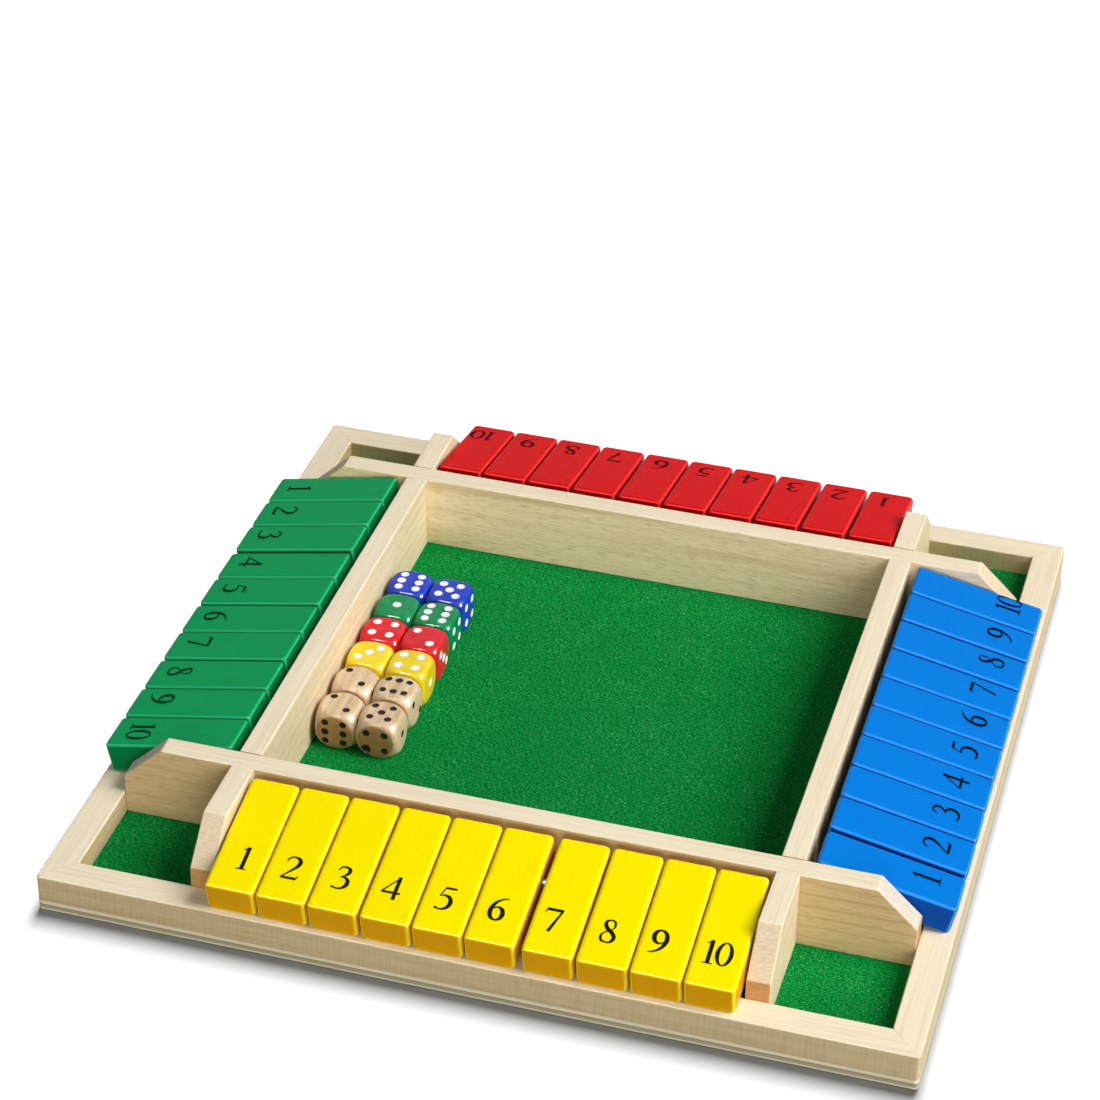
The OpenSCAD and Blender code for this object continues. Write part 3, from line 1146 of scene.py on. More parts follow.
@dataclass
class Tray:
    """Plywood base, felt, mitred rails, half-lapped walls and the hinge rods."""

    corner_r: float = 1.5
    corner_steps: int = 6
    ply_ease: float = 0.35
    ply_lines: tuple[float, float] = (1.35, 2.75)
    ply_groove: float = 0.09
    ply_line_half: float = 0.08
    rail_width: float = 11.2
    rail_ease: float = 0.6
    mitre_gap: float = 0.1
    wall_ease: float = 0.5
    clip_len: float = 14.2
    clip_h: float = 13.6
    lap_play: float = 0.1
    rod_hole_r: float = 1.55
    rod_hole_depth: float = 5.0
    rod_from_middle: float = 116.9
    rod_height: float = 26.2205
    felt_dip: float = 0.12
    felt_lump: float = 9.0
    felt_cells: int = 150

    def build(self) -> None:
        """Builds and dresses every piece of the tray."""
        self.build_base()
        self.build_felt()
        self.build_rails()
        self.build_walls()
        self.dress_rods()

    def build_base(self) -> None:
        """Builds the plywood sheet, with a fine groove along each glue line."""
        low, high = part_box("plywood_base")
        sheet = add_block("base_board", low, high)
        bevel_edges(sheet, is_upright, self.corner_r, self.corner_steps)
        bevel_edges(sheet, lambda edge: not is_upright(edge), self.ply_ease, 2)
        shrink = 1 - self.ply_groove * MM / high.x
        for line in self.ply_lines:
            with editing(sheet):
                for height in (line - self.ply_line_half, line, line + self.ply_line_half):
                    bpy.ops.mesh.select_all(action="SELECT")
                    bpy.ops.mesh.bisect(plane_co=(0, 0, height * MM), plane_no=(0, 0, 1))
                pick(sheet, "verts", lambda vert, z=line: abs(vert.co.z - z * MM) < 0.01 * MM)
                bpy.ops.transform.resize(value=(shrink, shrink, 1), center_override=(0, 0, line * MM))
        shade(sheet)
        settle(sheet, BOARD_BODY, "plywood_base", [ThreePlyBirch().material()])

    def build_felt(self) -> None:
        """Builds the felt sheet, laid a little unevenly on the plywood."""
        low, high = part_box("felt_sheet")
        bpy.ops.object.select_all(action="DESELECT")
        bpy.ops.mesh.primitive_grid_add(
            x_subdivisions=self.felt_cells,
            y_subdivisions=self.felt_cells,
            size=high.x - low.x,
            location=(0, 0, high.z),
        )
        felt = bpy.context.object
        felt.name = "dice_floor_felt"
        bpy.ops.object.transform_apply(location=True, rotation=True, scale=True)
        lumps = bpy.data.textures.new("felt_lumps", "CLOUDS")
        lumps.noise_scale = self.felt_lump * MM
        lumps.noise_depth = 3
        apply_modifier(
            felt,
            "DISPLACE",
            texture=lumps,
            direction="Z",
            mid_level=1.0,
            strength=self.felt_dip * MM,
            texture_coords="LOCAL",
        )
        apply_modifier(felt, "SOLIDIFY", thickness=high.z - low.z - self.felt_dip * MM, offset=-1.0)
        select_only(felt)
        bpy.ops.object.shade_smooth_by_angle(angle=SMOOTH_ANGLE)
        settle(felt, BOARD_BODY, "felt_sheet", [NeedledFelt().material()])

    def build_rails(self) -> None:
        """Builds the front rail, mitred at both ends, and turns copies of it round the board."""
        low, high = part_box("edge_rails")
        sawn = {
            grain: PlanedPine(
                grain, "sawn_pine", face_tone="#CEBB92", pore_share=0.06, figure_share=0.34, sawn_sides=True
            ).material()
            for grain in Grain
        }
        width = self.rail_width * MM
        rail = add_block("rail", low, Vector((high.x, low.y + width, high.z)))
        bevel_edges(
            rail,
            lambda edge: is_upright(edge) and edge.verts[0].co.y < low.y + width / 2,
            self.corner_r,
            self.corner_steps,
        )
        bevel_edges(rail, lambda edge: is_top_rim(edge, high.z), self.rail_ease, 4)
        inset = self.mitre_gap * MM / math.sqrt(2)
        for side in (-1, 1):
            cut_away(rail, (side * (high.x - inset), low.y, 0), (side, 1, 0))
        shade(rail)
        for turns, place in enumerate(RAILS):
            piece = copy_of(rail, f"rail_{place}")
            piece.data.transform(Matrix.Rotation(math.radians(90) * turns, 4, "Z"))
            grain = Grain.X if turns % 2 == 0 else Grain.Y
            settle(piece, BOARD_BODY, "edge_rails", [sawn[grain]])
        bpy.data.objects.remove(rail)

    def build_walls(self) -> None:
        """Builds the four walls: front and back run through, the others lap under them."""
        # Each wall has its own tones as painted light and shade for how it faces the lamps: the back wall's
        # faces are painted lighter, the front wall's darker and warmer.
        front = PlanedPine(Grain.X, face_tone="#DABE8B", slope_tone="#D7D6CB").material()
        side = PlanedPine(
            Grain.Y, face_tone="#E4D3B0", late_tone="#C09A66", pore_share=0.3, figure_share=0.3
        ).material()
        back = PlanedPine(
            Grain.X,
            "pale_pine",
            face_tone="#FFE8BE",
            late_tone="#D2A460",
            pore_tone="#A87030",
            pore_share=0.55,
            figure_share=0.5,
            pore_mm=(0.28, 6.0),
        ).material()
        for place, grain, skin in (
            ("front", Grain.X, front),
            ("back", Grain.X, back),
            ("left", Grain.Y, side),
            ("right", Grain.Y, side),
        ):
            wall = self.shape_wall(f"{place}_wall", f"wall_{place}", grain)
            settle(wall, BOARD_BODY, f"{place}_wall", [skin])

    def shape_wall(self, node: str, name: str, grain: Grain) -> bpy.types.Object:
        """Saws, eases, notches and drills one wall.

        Args:
            node: Node whose place it takes.
            name: Name of the piece.
            grain: Axis that the wall runs along. Walls along Y have their notches on top.

        Returns:
            The wall.
        """
        low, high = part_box(node)
        wall = add_block(name, low, high)
        along = Vector((1, 0, 0)) if grain is Grain.X else Vector((0, 1, 0))
        across = Vector((0, 1, 0)) if grain is Grain.X else Vector((1, 0, 0))
        slope = Vector((self.clip_h, self.clip_len)).normalized()
        for side in (-1, 1):
            corner = along * side * (high.dot(along) - self.clip_len * MM) + Vector((0, 0, high.z))
            cut_away(wall, corner, along * side * slope.x + Vector((0, 0, slope.y)))
        bevel_edges(wall, lambda edge: True, self.wall_ease, 3)
        thick = (high - low).dot(across)
        crossing = abs((high + low).dot(across)) / 2
        middle = (low.z + high.z) / 2
        half_gap = thick / 2 + self.lap_play * MM
        if grain is Grain.Y:
            bottom, top = middle, high.z + MM
        else:
            bottom, top = low.z - MM, middle + self.lap_play * MM
        for side in (-1, 1):
            reach = along * half_gap + across * (crossing + thick)
            centre = along * side * crossing
            foot, head = Vector((0, 0, bottom)), Vector((0, 0, top))
            carve(wall, add_block("notch", centre - reach + foot, centre + reach + head))
        inward = -1 if (high + low).dot(across) > 0 else 1
        inner_face = high.dot(across) if inward > 0 else low.dot(across)
        turn = (math.radians(90), 0, 0) if grain is Grain.X else (0, math.radians(90), 0)
        for side in (-1, 1):
            centre = along * side * self.rod_from_middle * MM + across * inner_face
            centre.z = self.rod_height * MM
            carve(wall, add_pin(self.rod_hole_r, 2 * self.rod_hole_depth, centre, turn))
        shade(wall)
        return wall

    def dress_rods(self) -> None:
        """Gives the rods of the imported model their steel."""
        rods = frame["nodes"]["hinge_rods"]
        rods.data.materials.clear()
        rods.data.materials.append(DrawnSteel().material())
        LOG.info("hinge_rods: dressed in steel")


def is_upright(edge: bmesh.types.BMEdge) -> bool:
    """Tells whether a mesh edge is vertical."""
    first, last = (vert.co for vert in edge.verts)
    return abs(first.z - last.z) > 0.99 * (first - last).length


def is_top_rim(edge: bmesh.types.BMEdge, height: float) -> bool:
    """Tells whether a mesh edge lies at a height, in metres, between the top and a side."""
    level = all(abs(vert.co.z - height) < 1e-6 for vert in edge.verts)
    return level and edge.calc_face_angle(0.0) > math.radians(45)


# --- Numbers ----------------------------------------------------------------


@dataclass(frozen=True)
class Stroke:
    """One pen stroke of a numeral.

    Each knot is its place from the numeral's middle and foot, and the pen's width
    there, in millimetres. A ball is the radius of a round drop at the last knot.
    """

    knots: tuple[tuple[float, float, float], ...]
    ball: float = 0.0

    def outline(self, weight: float, steps: int = 6) -> list[Point]:
        """Traces both sides of the stroke.

        Args:
            weight: Factor on the pen's width.
            steps: Points along each stretch between two knots.

        Returns:
            The closed outline, in millimetres.
        """
        line = self.smooth_line(steps)
        left: list[Point] = []
        right: list[Point] = []
        for i, (x, y, width) in enumerate(line):
            before = line[max(i - 1, 0)]
            after = line[min(i + 1, len(line) - 1)]
            way = Vector((after[0] - before[0], after[1] - before[1])).normalized()
            half = weight * width / 2
            left.append((x - way.y * half, y + way.x * half))
            right.append((x + way.y * half, y - way.x * half))
        return left + right[::-1]

    def smooth_line(self, steps: int) -> list[Vector]:
        """Draws a smooth line through the knots.

        Args:
            steps: Points along each stretch between two knots.

        Returns:
            Points with their pen widths.
        """
        knots = [Vector(knot) for knot in self.knots]
        if len(knots) == 2:
            return knots
        ends = [2 * knots[0] - knots[1], *knots, 2 * knots[-1] - knots[-2]]
        line: list[Vector] = []
        for a, b, c, d in zip(ends, ends[1:], ends[2:], ends[3:]):
            for step in range(steps):
                t = step / steps
                bend = 2 * a - 5 * b + 4 * c - d
                twist = 3 * b - a - 3 * c + d
                line.append(b + 0.5 * t * ((c - a) + t * (bend + t * twist)))
        line.append(knots[-1])
        return line


# Each knot is its place from the numeral's middle and foot, and the pen's width there,
# in millimetres. A nine is a six turned end for end, and a ten is a one with a nought.
NUMERAL_STROKES: dict[int, tuple[Stroke, ...]] = {
    1: (
        Stroke(((0.4, 0.1, 1.15), (0.4, 9.55, 1.15))),
        Stroke(((-1.2, 8.2, 0.3), (-0.3, 8.65, 0.5), (0.8, 9.45, 0.4))),
        Stroke(((-1.4, 0.2, 0.4), (2.1, 0.2, 0.4))),
    ),
    2: (
        Stroke(
            (
                (-2.9, 7.1, 0.35), (-2.2, 8.6, 0.6), (-0.6, 9.3, 0.65), (1.1, 8.7, 1.05),
                (1.75, 7.2, 1.25), (1.1, 5.4, 1.05), (-0.6, 3.2, 0.65), (-2.9, 0.5, 0.4),
            )
        ),
        Stroke(((-3.1, 0.45, 0.7), (-0.5, 0.45, 0.9), (2.25, 0.45, 0.9))),
        Stroke(((1.9, 0.4, 0.8), (2.45, 0.9, 0.45), (2.85, 1.8, 0.2))),
    ),
    3: (
        Stroke(
            (
                (-2.7, 7.5, 0.35), (-1.9, 8.95, 0.6), (-0.5, 9.35, 0.65), (0.95, 8.7, 1.0),
                (1.15, 7.3, 1.1), (0.2, 5.9, 0.7), (-1.2, 5.0, 0.35),
            )
        ),
        Stroke(
            (
                (-1.0, 5.1, 0.35), (0.5, 5.0, 0.75), (1.6, 3.9, 1.15), (1.6, 2.1, 1.25),
                (0.5, 0.7, 0.85), (-1.2, 0.25, 0.55), (-2.8, 0.6, 0.6),
            ),
            ball=0.5,
        ),
    ),
    4: (
        Stroke(((0.9, 9.35, 0.45), (-3.75, 3.0, 0.5))),
        Stroke(((-4.0, 2.85, 0.75), (2.45, 2.85, 0.75))),
        Stroke(((0.7, 9.6, 1.1), (0.7, 0.0, 1.1))),
    ),
    5: (
        Stroke(((-1.45, 9.05, 0.8), (2.3, 9.15, 0.75))),
        Stroke(((-1.3, 9.3, 0.45), (-2.5, 5.7, 0.45))),
        Stroke(
            (
                (-2.6, 5.65, 0.4), (-0.9, 6.05, 0.7), (0.8, 5.4, 1.05), (1.55, 3.7, 1.25),
                (1.2, 1.8, 1.15), (0.0, 0.6, 0.8), (-1.4, 0.25, 0.55), (-2.8, 0.6, 0.6),
            ),
            ball=0.5,
        ),
    ),
    6: (
        Stroke(
            (
                (2.4, 9.6, 0.35), (0.3, 8.9, 0.6), (-1.5, 7.2, 0.95), (-2.45, 4.9, 1.25),
                (-2.45, 2.7, 1.3), (-1.6, 0.95, 1.0), (-0.2, 0.3, 0.6), (0.6, 0.45, 0.65),
            )
        ),
        Stroke(
            (
                (-0.9, 0.42, 0.6), (-0.1, 0.33, 0.6), (1.15, 0.95, 1.0), (1.75, 2.7, 1.3),
                (1.25, 4.7, 1.15), (-0.1, 5.6, 0.7), (-1.4, 5.2, 0.45), (-2.4, 4.3, 0.4),
            )
        ),
    ),
    7: (
        Stroke(((-3.1, 8.95, 0.95), (2.35, 8.95, 0.95))),
        Stroke(((-2.85, 9.0, 0.5), (-3.2, 8.3, 0.4), (-3.4, 7.4, 0.2))),
        Stroke(((2.2, 9.2, 0.5), (0.9, 5.2, 0.75), (-0.7, 0.0, 1.0))),
    ),
    8: (
        Stroke(
            (
                (1.3, 7.4, 0.7), (1.0, 8.8, 0.65), (-0.2, 9.35, 0.5), (-1.6, 8.7, 0.85),
                (-1.75, 7.2, 1.1), (-0.7, 5.6, 1.2), (0.8, 4.5, 1.2), (1.9, 2.8, 1.15),
                (1.4, 0.9, 0.9), (-0.2, 0.3, 0.55), (-1.9, 0.9, 0.75), (-2.4, 2.4, 0.75),
            )
        ),
        Stroke(((-2.4, 2.2, 0.75), (-1.9, 3.7, 0.5), (0.3, 5.4, 0.4), (1.2, 6.5, 0.5), (1.3, 7.6, 0.7))),
    ),
}


@dataclass
class Numerals:
    """The numbers 1 to 10 in an old-style face with thick and thin strokes."""

    height: float = 9.6
    weight: float = 1.22
    depth: float = 0.28
    proud: float = 1.0
    ten_one_at: float = -2.65
    nine_turn: float = -0.7
    nought_at: Point = (2.45, 4.8)
    nought_half: Point = (2.2, 4.55)
    nought_pen: Point = (0.45, 0.75)

    def strokes(self, number: int) -> list[Stroke]:
        """Gives the pen strokes of a number.

        Args:
            number: From 1 to 10.

        Returns:
            The strokes, about the number's middle and foot.
        """
        if number == 9:
            return [
                Stroke(tuple((self.nine_turn - x, self.height - y, width) for x, y, width in stroke.knots))
                for stroke in NUMERAL_STROKES[6]
            ]
        if number == 10:
            one = [
                Stroke(tuple((x + self.ten_one_at, y, width) for x, y, width in stroke.knots))
                for stroke in NUMERAL_STROKES[1]
            ]
            return one + self.nought()
        return list(NUMERAL_STROKES[number])

    def nought(self) -> list[Stroke]:
        """Draws a narrow nought as two bows, thick at the sides and thin at head and foot.

        Returns:
            The left and the right bow.
        """
        thin, more = self.nought_pen
        bows: list[Stroke] = []
        for side in (-1, 1):
            knots = []
            for turn in map(math.radians, range(-30, 240, 30)):
                x = self.nought_at[0] + side * self.nought_half[0] * math.sin(turn)
                y = self.nought_at[1] + self.nought_half[1] * math.cos(turn)
                knots.append((x, y, thin + more * max(0.0, math.sin(turn)) ** 1.5))
            bows.append(Stroke(tuple(knots)))
        return bows

    def die_for(self, number: int) -> bpy.types.Object:
        """Makes the stamping die of a number, its face below z = 0 by the depth of the stamp.

        Args:
            number: From 1 to 10.

        Returns:
            A closed mesh whose faces all have the ink's index.
        """
        parts: list[bpy.types.Object] = []
        for stroke in self.strokes(number):
            parts.append(self.raise_stroke(stroke))
            if stroke.ball:
                x, y, _ = stroke.knots[-1]
                centre = (x * MM, y * MM, (self.proud - self.depth) / 2 * MM)
                parts.append(add_pin(stroke.ball, self.proud + self.depth, centre))
        die = parts[0]
        for part in parts[1:]:
            carve(die, part, "UNION")
        die.name = f"stamp_{number}"
        add_slots(die, cut=True)
        return die

    def raise_stroke(self, stroke: Stroke) -> bpy.types.Object:
        """Makes a stroke a solid from the stamp's depth to above the tile.

        Args:
            stroke: Pen stroke.

        Returns:
            A closed mesh.
        """
        curve = bpy.data.curves.new("stroke", "CURVE")
        curve.dimensions = "2D"
        curve.fill_mode = "BOTH"
        curve.extrude = (self.proud + self.depth) / 2 * MM
        spline = curve.splines.new("POLY")
        outline = stroke.outline(self.weight)
        spline.points.add(len(outline) - 1)
        for point, (x, y) in zip(spline.points, outline):
            point.co = (x * MM, y * MM, 0, 1)
        spline.use_cyclic_u = True
        solid = bpy.data.objects.new("stroke", curve)
        bpy.context.scene.collection.objects.link(solid)
        select_only(solid)
        bpy.ops.object.convert(target="MESH")
        solid = bpy.context.object
        solid.data.transform(Matrix.Translation((0, 0, (self.proud - self.depth) / 2 * MM)))
        with editing(solid):
            bpy.ops.mesh.select_all(action="SELECT")
            bpy.ops.mesh.remove_doubles(threshold=0.005 * MM)
            bpy.ops.mesh.normals_make_consistent(inside=False)
        return solid


# --- Tiles ------------------------------------------------------------------


@dataclass
class TileShape:
    """The plain painted block that every tile starts from, about its rod."""

    thickness: float = 11.5
    reach: float = 32.6
    tail: float = 15.9
    width: float = 17.42
    plan_r: float = 2.0
    long_r: float = 1.6
    end_r: float = 1.2
    bore_r: float = 1.58
    bore_overrun: float = 2.0
    slope: float = 11.5
    segments: int = 6

    def blank(self) -> bpy.types.Object:
        """Makes the block with its three kinds of rounding and its bore.

        Returns:
            The block, its numbered end towards -Y.
        """
        half_w, half_t = self.width / 2, self.thickness / 2
        low = Vector((-half_w, -self.reach, -half_t)) * MM
        high = Vector((half_w, self.tail, half_t)) * MM
        block = add_block("tile_blank", low, high)
        widest = max(self.plan_r, self.long_r, self.end_r)
        weights = block.data.attributes.new("bevel_weight_edge", "FLOAT", "EDGE")
        for edge, weight in zip(block.data.edges, weights.data):
            first, last = (block.data.vertices[i].co for i in edge.vertices)
            way = last - first
            radius = self.plan_r if abs(way.z) > 0 else self.long_r if abs(way.y) > 0 else self.end_r
            weight.value = radius / widest
        apply_modifier(
            block,
            "BEVEL",
            width=widest * MM,
            segments=self.segments,
            limit_method="WEIGHT",
            affect="EDGES",
        )
        bore_length = self.width + 2 * self.bore_overrun
        carve(block, add_pin(self.bore_r, bore_length, (0, 0, 0), (0, math.radians(90), 0)))
        add_slots(block)
        return block


@dataclass
class TileRow:
    """Ten tiles of one colour on one side of the board."""

    colour: str
    turns: int
    paint: SprayedPaint
    ink: StampedInk
    baseline: float
    number_steps: tuple[float, ...]

    def build(self, shape: TileShape, blank: bpy.types.Object, stamps: dict[int, bpy.types.Object]) -> None:
        """Stamps, places and dresses the ten tiles.

        Args:
            shape: Shape of a tile.
            blank: Block that each tile is a copy of.
            stamps: Stamping dies by number.
        """
        materials = [self.paint.material(), self.ink.material()]
        pivots = {joint["name"]: joint["pos_m"] for joint in frame["joints"] if "pos_m" in joint}
        for number, step in enumerate(self.number_steps, start=1):
            tile = copy_of(blank, f"{self.colour}_tile_{number}")
            stamp = copy_of(stamps[number], "stamp")
            foot = Vector((step, self.baseline - shape.reach, shape.thickness / 2)) * MM
            stamp.data.transform(Matrix.Translation(foot))
            carve(tile, stamp)
            shade(tile)
            pivot = Vector(pivots[f"{self.colour}_{number}_flip"])
            turned = Matrix.Rotation(math.radians(90) * self.turns, 4, "Z")
            sloped = Matrix.Rotation(math.radians(shape.slope), 4, "X")
            tile.data.transform(Matrix.Translation(pivot) @ turned @ sloped)
            node = f"tile_{self.colour}_{number}"
            settle(tile, node, node, materials)


def make_rows() -> list[TileRow]:
    """Sets out the four rows: their paint, their ink and where their numbers stand.

    Returns:
        The rows, from the front one to the right.
    """
    # Each paint lists its top and deep tones, then painted shade for sides and ends, then a painted highlight
    # for the arrises.
    return [
        TileRow(
            "yellow",
            0,
            SprayedPaint("yellow", "#F7E400", "#F4DE00", "#DEA100", "#FBEA30", Grain.Y),
            StampedInk("yellow", "#120F04", "#2A240C"),
            9.3,
            (0.8, 0.2, 0.0, -0.5, -0.4, -0.6, -1.4, -0.8, -1.7, -0.8),
        ),
        TileRow(
            "blue",
            1,
            SprayedPaint("blue", "#0077D4", "#006FCB", "#0A48A4", "#3898F0", Grain.X),
            StampedInk("blue", "#060B1C", "#10204A"),
            8.0,
            (1.5, 0.8, 1.2, 1.2, 1.4, 2.0, 2.4, 2.5, 1.9, 3.0),
        ),
        TileRow(
            "red",
            2,
            SprayedPaint("red", "#DE0A10", "#CE0208", "#B20004", "#EE3836", Grain.Y, gloss=0.012),
            StampedInk("red", "#3C0A0E", "#6C141A"),
            5.7,
            (1.2, 1.2, 1.2, 1.2, 1.2, 1.2, 1.2, 1.2, 1.2, 1.8),
        ),
        TileRow(
            "green",
            3,
            SprayedPaint("green", "#009E58", "#009450", "#007A40", "#38BC80", Grain.X),
            StampedInk("green", "#052A17", "#0A4A2A"),
            5.9,
            (-0.3, -1.2, -1.4, -0.9, -0.9, -0.5, -1.2, -0.8, -1.3, -0.1),
        ),
    ]


# --- Dice -------------------------------------------------------------------


class DieKind(Enum):
    """What a die is made of."""

    PLASTIC = "plastic"
    WOOD = "wood"


@dataclass(frozen=True)
class DieShape:
    """Sizes of one kind of die."""

    kind: DieKind
    ball_r: float
    pip_d: float
    width: float = 15.4
    pip_depth: float = 0.4
    pip_proud: float = 0.35
    pip_step: float = 3.4
    pip_row_step: float = 4.1
    edge_sharpness: float = 16.0
    cells: int = 36

    def body(self) -> bpy.types.Object:
        """Rounds a finely divided cube as tumbling does: flats, edges and corners run together.

        Returns:
            The body.
        """
        half = self.width / 2 * MM
        body = add_block("die_body", Vector((-half, -half, -half)), Vector((half, half, half)))
        with editing(body):
            bpy.ops.mesh.select_all(action="SELECT")
            bpy.ops.mesh.subdivide(number_cuts=self.cells - 1)
        power = self.edge_sharpness
        ball = (1 / (self.ball_r * MM)) ** power
        for vertex in body.data.vertices:
            way = vertex.co.normalized()
            flats = sum((abs(part) / half) ** power for part in way)
            vertex.co = way * (flats + ball) ** (-1 / power)
        add_slots(body)
        return body

    def pips(self, count: int, way: int) -> list[Point]:
        """Sets out the pips of one face.

        Args:
            count: Number of pips.
            way: 1 if they fall or stand upright, -1 if they rise or lie.

        Returns:
            Their places from the face's middle, in millimetres.
        """
        step, row = self.pip_step, self.pip_row_step
        places: list[Point] = [(0, 0)] if count % 2 else []
        if 2 <= count < 6:
            places += [(-step, step * way), (step, -step * way)]
        if 4 <= count < 6:
            places += [(-step, -step * way), (step, step * way)]
        if count == 6:
            for side in (-1, 1):
                places += [(side * step, i * row) if way > 0 else (i * row, side * step) for i in (-1, 0, 1)]
        return places

    def pip_cutter(self) -> bpy.types.Object:
        """Makes the cap of a ball that cuts one dimple, its lowest point below z = 0.

        Returns:
            The cap, a closed mesh with the pip paint's index.
        """
        ball_r = ((self.pip_d / 2) ** 2 + self.pip_depth**2) / (2 * self.pip_depth)
        bpy.ops.object.select_all(action="DESELECT")
        bpy.ops.mesh.primitive_uv_sphere_add(
            segments=32, ring_count=48, radius=ball_r * MM, location=(0, 0, (ball_r - self.pip_depth) * MM)
        )
        cap = bpy.context.object
        bpy.ops.object.transform_apply(location=True, rotation=True, scale=True)
        cut_away(cap, (0, 0, self.pip_proud * MM), (0, 0, 1))
        add_slots(cap, cut=True)
        return cap


@dataclass(frozen=True)
class Die:
    """One die: the spots on top, in front and on its right, and how they lie."""

    name: str
    spots: tuple[int, int, int]
    ways: tuple[int, int, int] = (1, 1, 1)
    turn: float = 0.0


# Turns of a face that points up to the top, front and right of a die, and to
# the faces opposite them, as degrees about X and then about Z.
FACE_TURNS = (((0, 0), (180, 0)), ((90, 0), (90, 180)), ((90, 90), (90, 270)))

DICE = (
    Die("blue_1", (6, 2, 4), turn=0.5),
    Die("blue_2", (5, 6, 4), turn=-0.6),
    Die("green_1", (1, 2, 3)),
    Die("green_2", (6, 2, 4), turn=0.6),
    Die("red_1", (4, 1, 5), turn=-0.4),
    Die("red_2", (2, 6, 3), turn=0.5),
    Die("yellow_1", (3, 1, 2), (-1, 1, 1), 0.6),
    Die("yellow_2", (4, 2, 1), turn=-0.4),
    Die("wood_1", (2, 4, 6), turn=0.3),
    Die("wood_2", (6, 3, 2), (-1, 1, 1), -0.7),
    Die("wood_3", (2, 6, 3), turn=0.7),
    Die("wood_4", (5, 4, 1), turn=0.4),
)


@dataclass
class DiceSet:
    """Two columns of dice on the felt: eight of plastic and four of wood."""

    plastic: DieShape = DieShape(DieKind.PLASTIC, ball_r=11.1, pip_d=3.3)
    wooden: DieShape = DieShape(DieKind.WOOD, ball_r=10.2, pip_d=2.8, edge_sharpness=26.0)

    def build(self) -> None:
        """Builds and dresses the twelve dice."""
        acrylics = {
            "blue": TumbledAcrylic("blue", "#1B36B8", "#2746C8"),
            "green": TumbledAcrylic("green", "#00814A", "#0A9358"),
            "red": TumbledAcrylic("red", "#D4141F", "#E02834"),
            "yellow": TumbledAcrylic("yellow", "#EBCB14", "#F0DC3C"),
        }
        skins = {name: acrylic.material() for name, acrylic in acrylics.items()}
        # The grain runs along Y, so the darker end tone falls on the dice's front and back faces, partly as
        # painted shade.
        beech = WaxedBeech(Grain.Y).material()
        white = PipPaint("white", "#F6F6F4", "#E6E6F0", 0.25).material()
        black = PipPaint("black", "#14110D", "#2A241C", 0.45).material()
        bodies = {shape.kind: shape.body() for shape in (self.plastic, self.wooden)}
        caps = {shape.kind: shape.pip_cutter() for shape in (self.plastic, self.wooden)}
        for die in DICE:
            paint = die.name.split("_")[0]
            shape = self.wooden if paint == "wood" else self.plastic
            piece = copy_of(bodies[shape.kind], f"{paint}_die_{die.name[-1]}")
            carve(piece, self.pip_tool(shape, die, caps[shape.kind]))
            shade(piece)
            self.put_down(piece, die)
            skin = beech if paint == "wood" else skins[paint]
            dots = black if paint == "wood" else white
            node = f"die_{die.name}"
            settle(piece, node, node, [skin, dots])
        for spare in (*bodies.values(), *caps.values()):
            bpy.data.objects.remove(spare)

    def pip_tool(self, shape: DieShape, die: Die, cap: bpy.types.Object) -> bpy.types.Object:
        """Gathers the cutters of all 21 pips of a die. Opposite spots add up to seven.

        Args:
            shape: Kind of die.
            die: The die.
            cap: Cutter of one pip.

        Returns:
            The cutters as one object.
        """
        cutters: list[bpy.types.Object] = []
        for spots, way, turns in zip(die.spots, die.ways, FACE_TURNS):
            for count, (about_x, about_z) in zip((spots, 7 - spots), turns):
                face = Matrix.Rotation(math.radians(about_z), 4, "Z") @ Matrix.Rotation(
                    math.radians(about_x), 4, "X"
                )
                for x, y in shape.pips(count, way):
                    cutter = copy_of(cap, "pip_cutter")
                    place = Matrix.Translation(Vector((x, y, shape.width / 2)) * MM)
                    cutter.data.transform(face @ place)
                    cutters.append(cutter)
        bpy.ops.object.select_all(action="DESELECT")
        for cutter in cutters:
            cutter.select_set(True)
        bpy.context.view_layer.objects.active = cutters[0]
        bpy.ops.object.join()
        add_slots(cutters[0], cut=True)
        return cutters[0]

    def put_down(self, piece: bpy.types.Object, die: Die) -> None:
        """Turns a die on the felt and moves it to its place.

        Args:
            piece: The die about the origin.
            die: What it shows.
        """
        low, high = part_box(f"die_{die.name}")
        turned = Matrix.Rotation(math.radians(die.turn), 4, "Z")
        piece.data.transform(Matrix.Translation((low + high) / 2) @ turned)


# --- Studio -----------------------------------------------------------------


@dataclass(frozen=True)
class Softbox:
    """One studio light: its direction from the board, distance and face in metres, and watts."""

    name: str
    way: tuple[float, float, float]
    distance: float
    face: tuple[float, float]
    power: float
    on_table: bool = False
    glints_only: bool = False


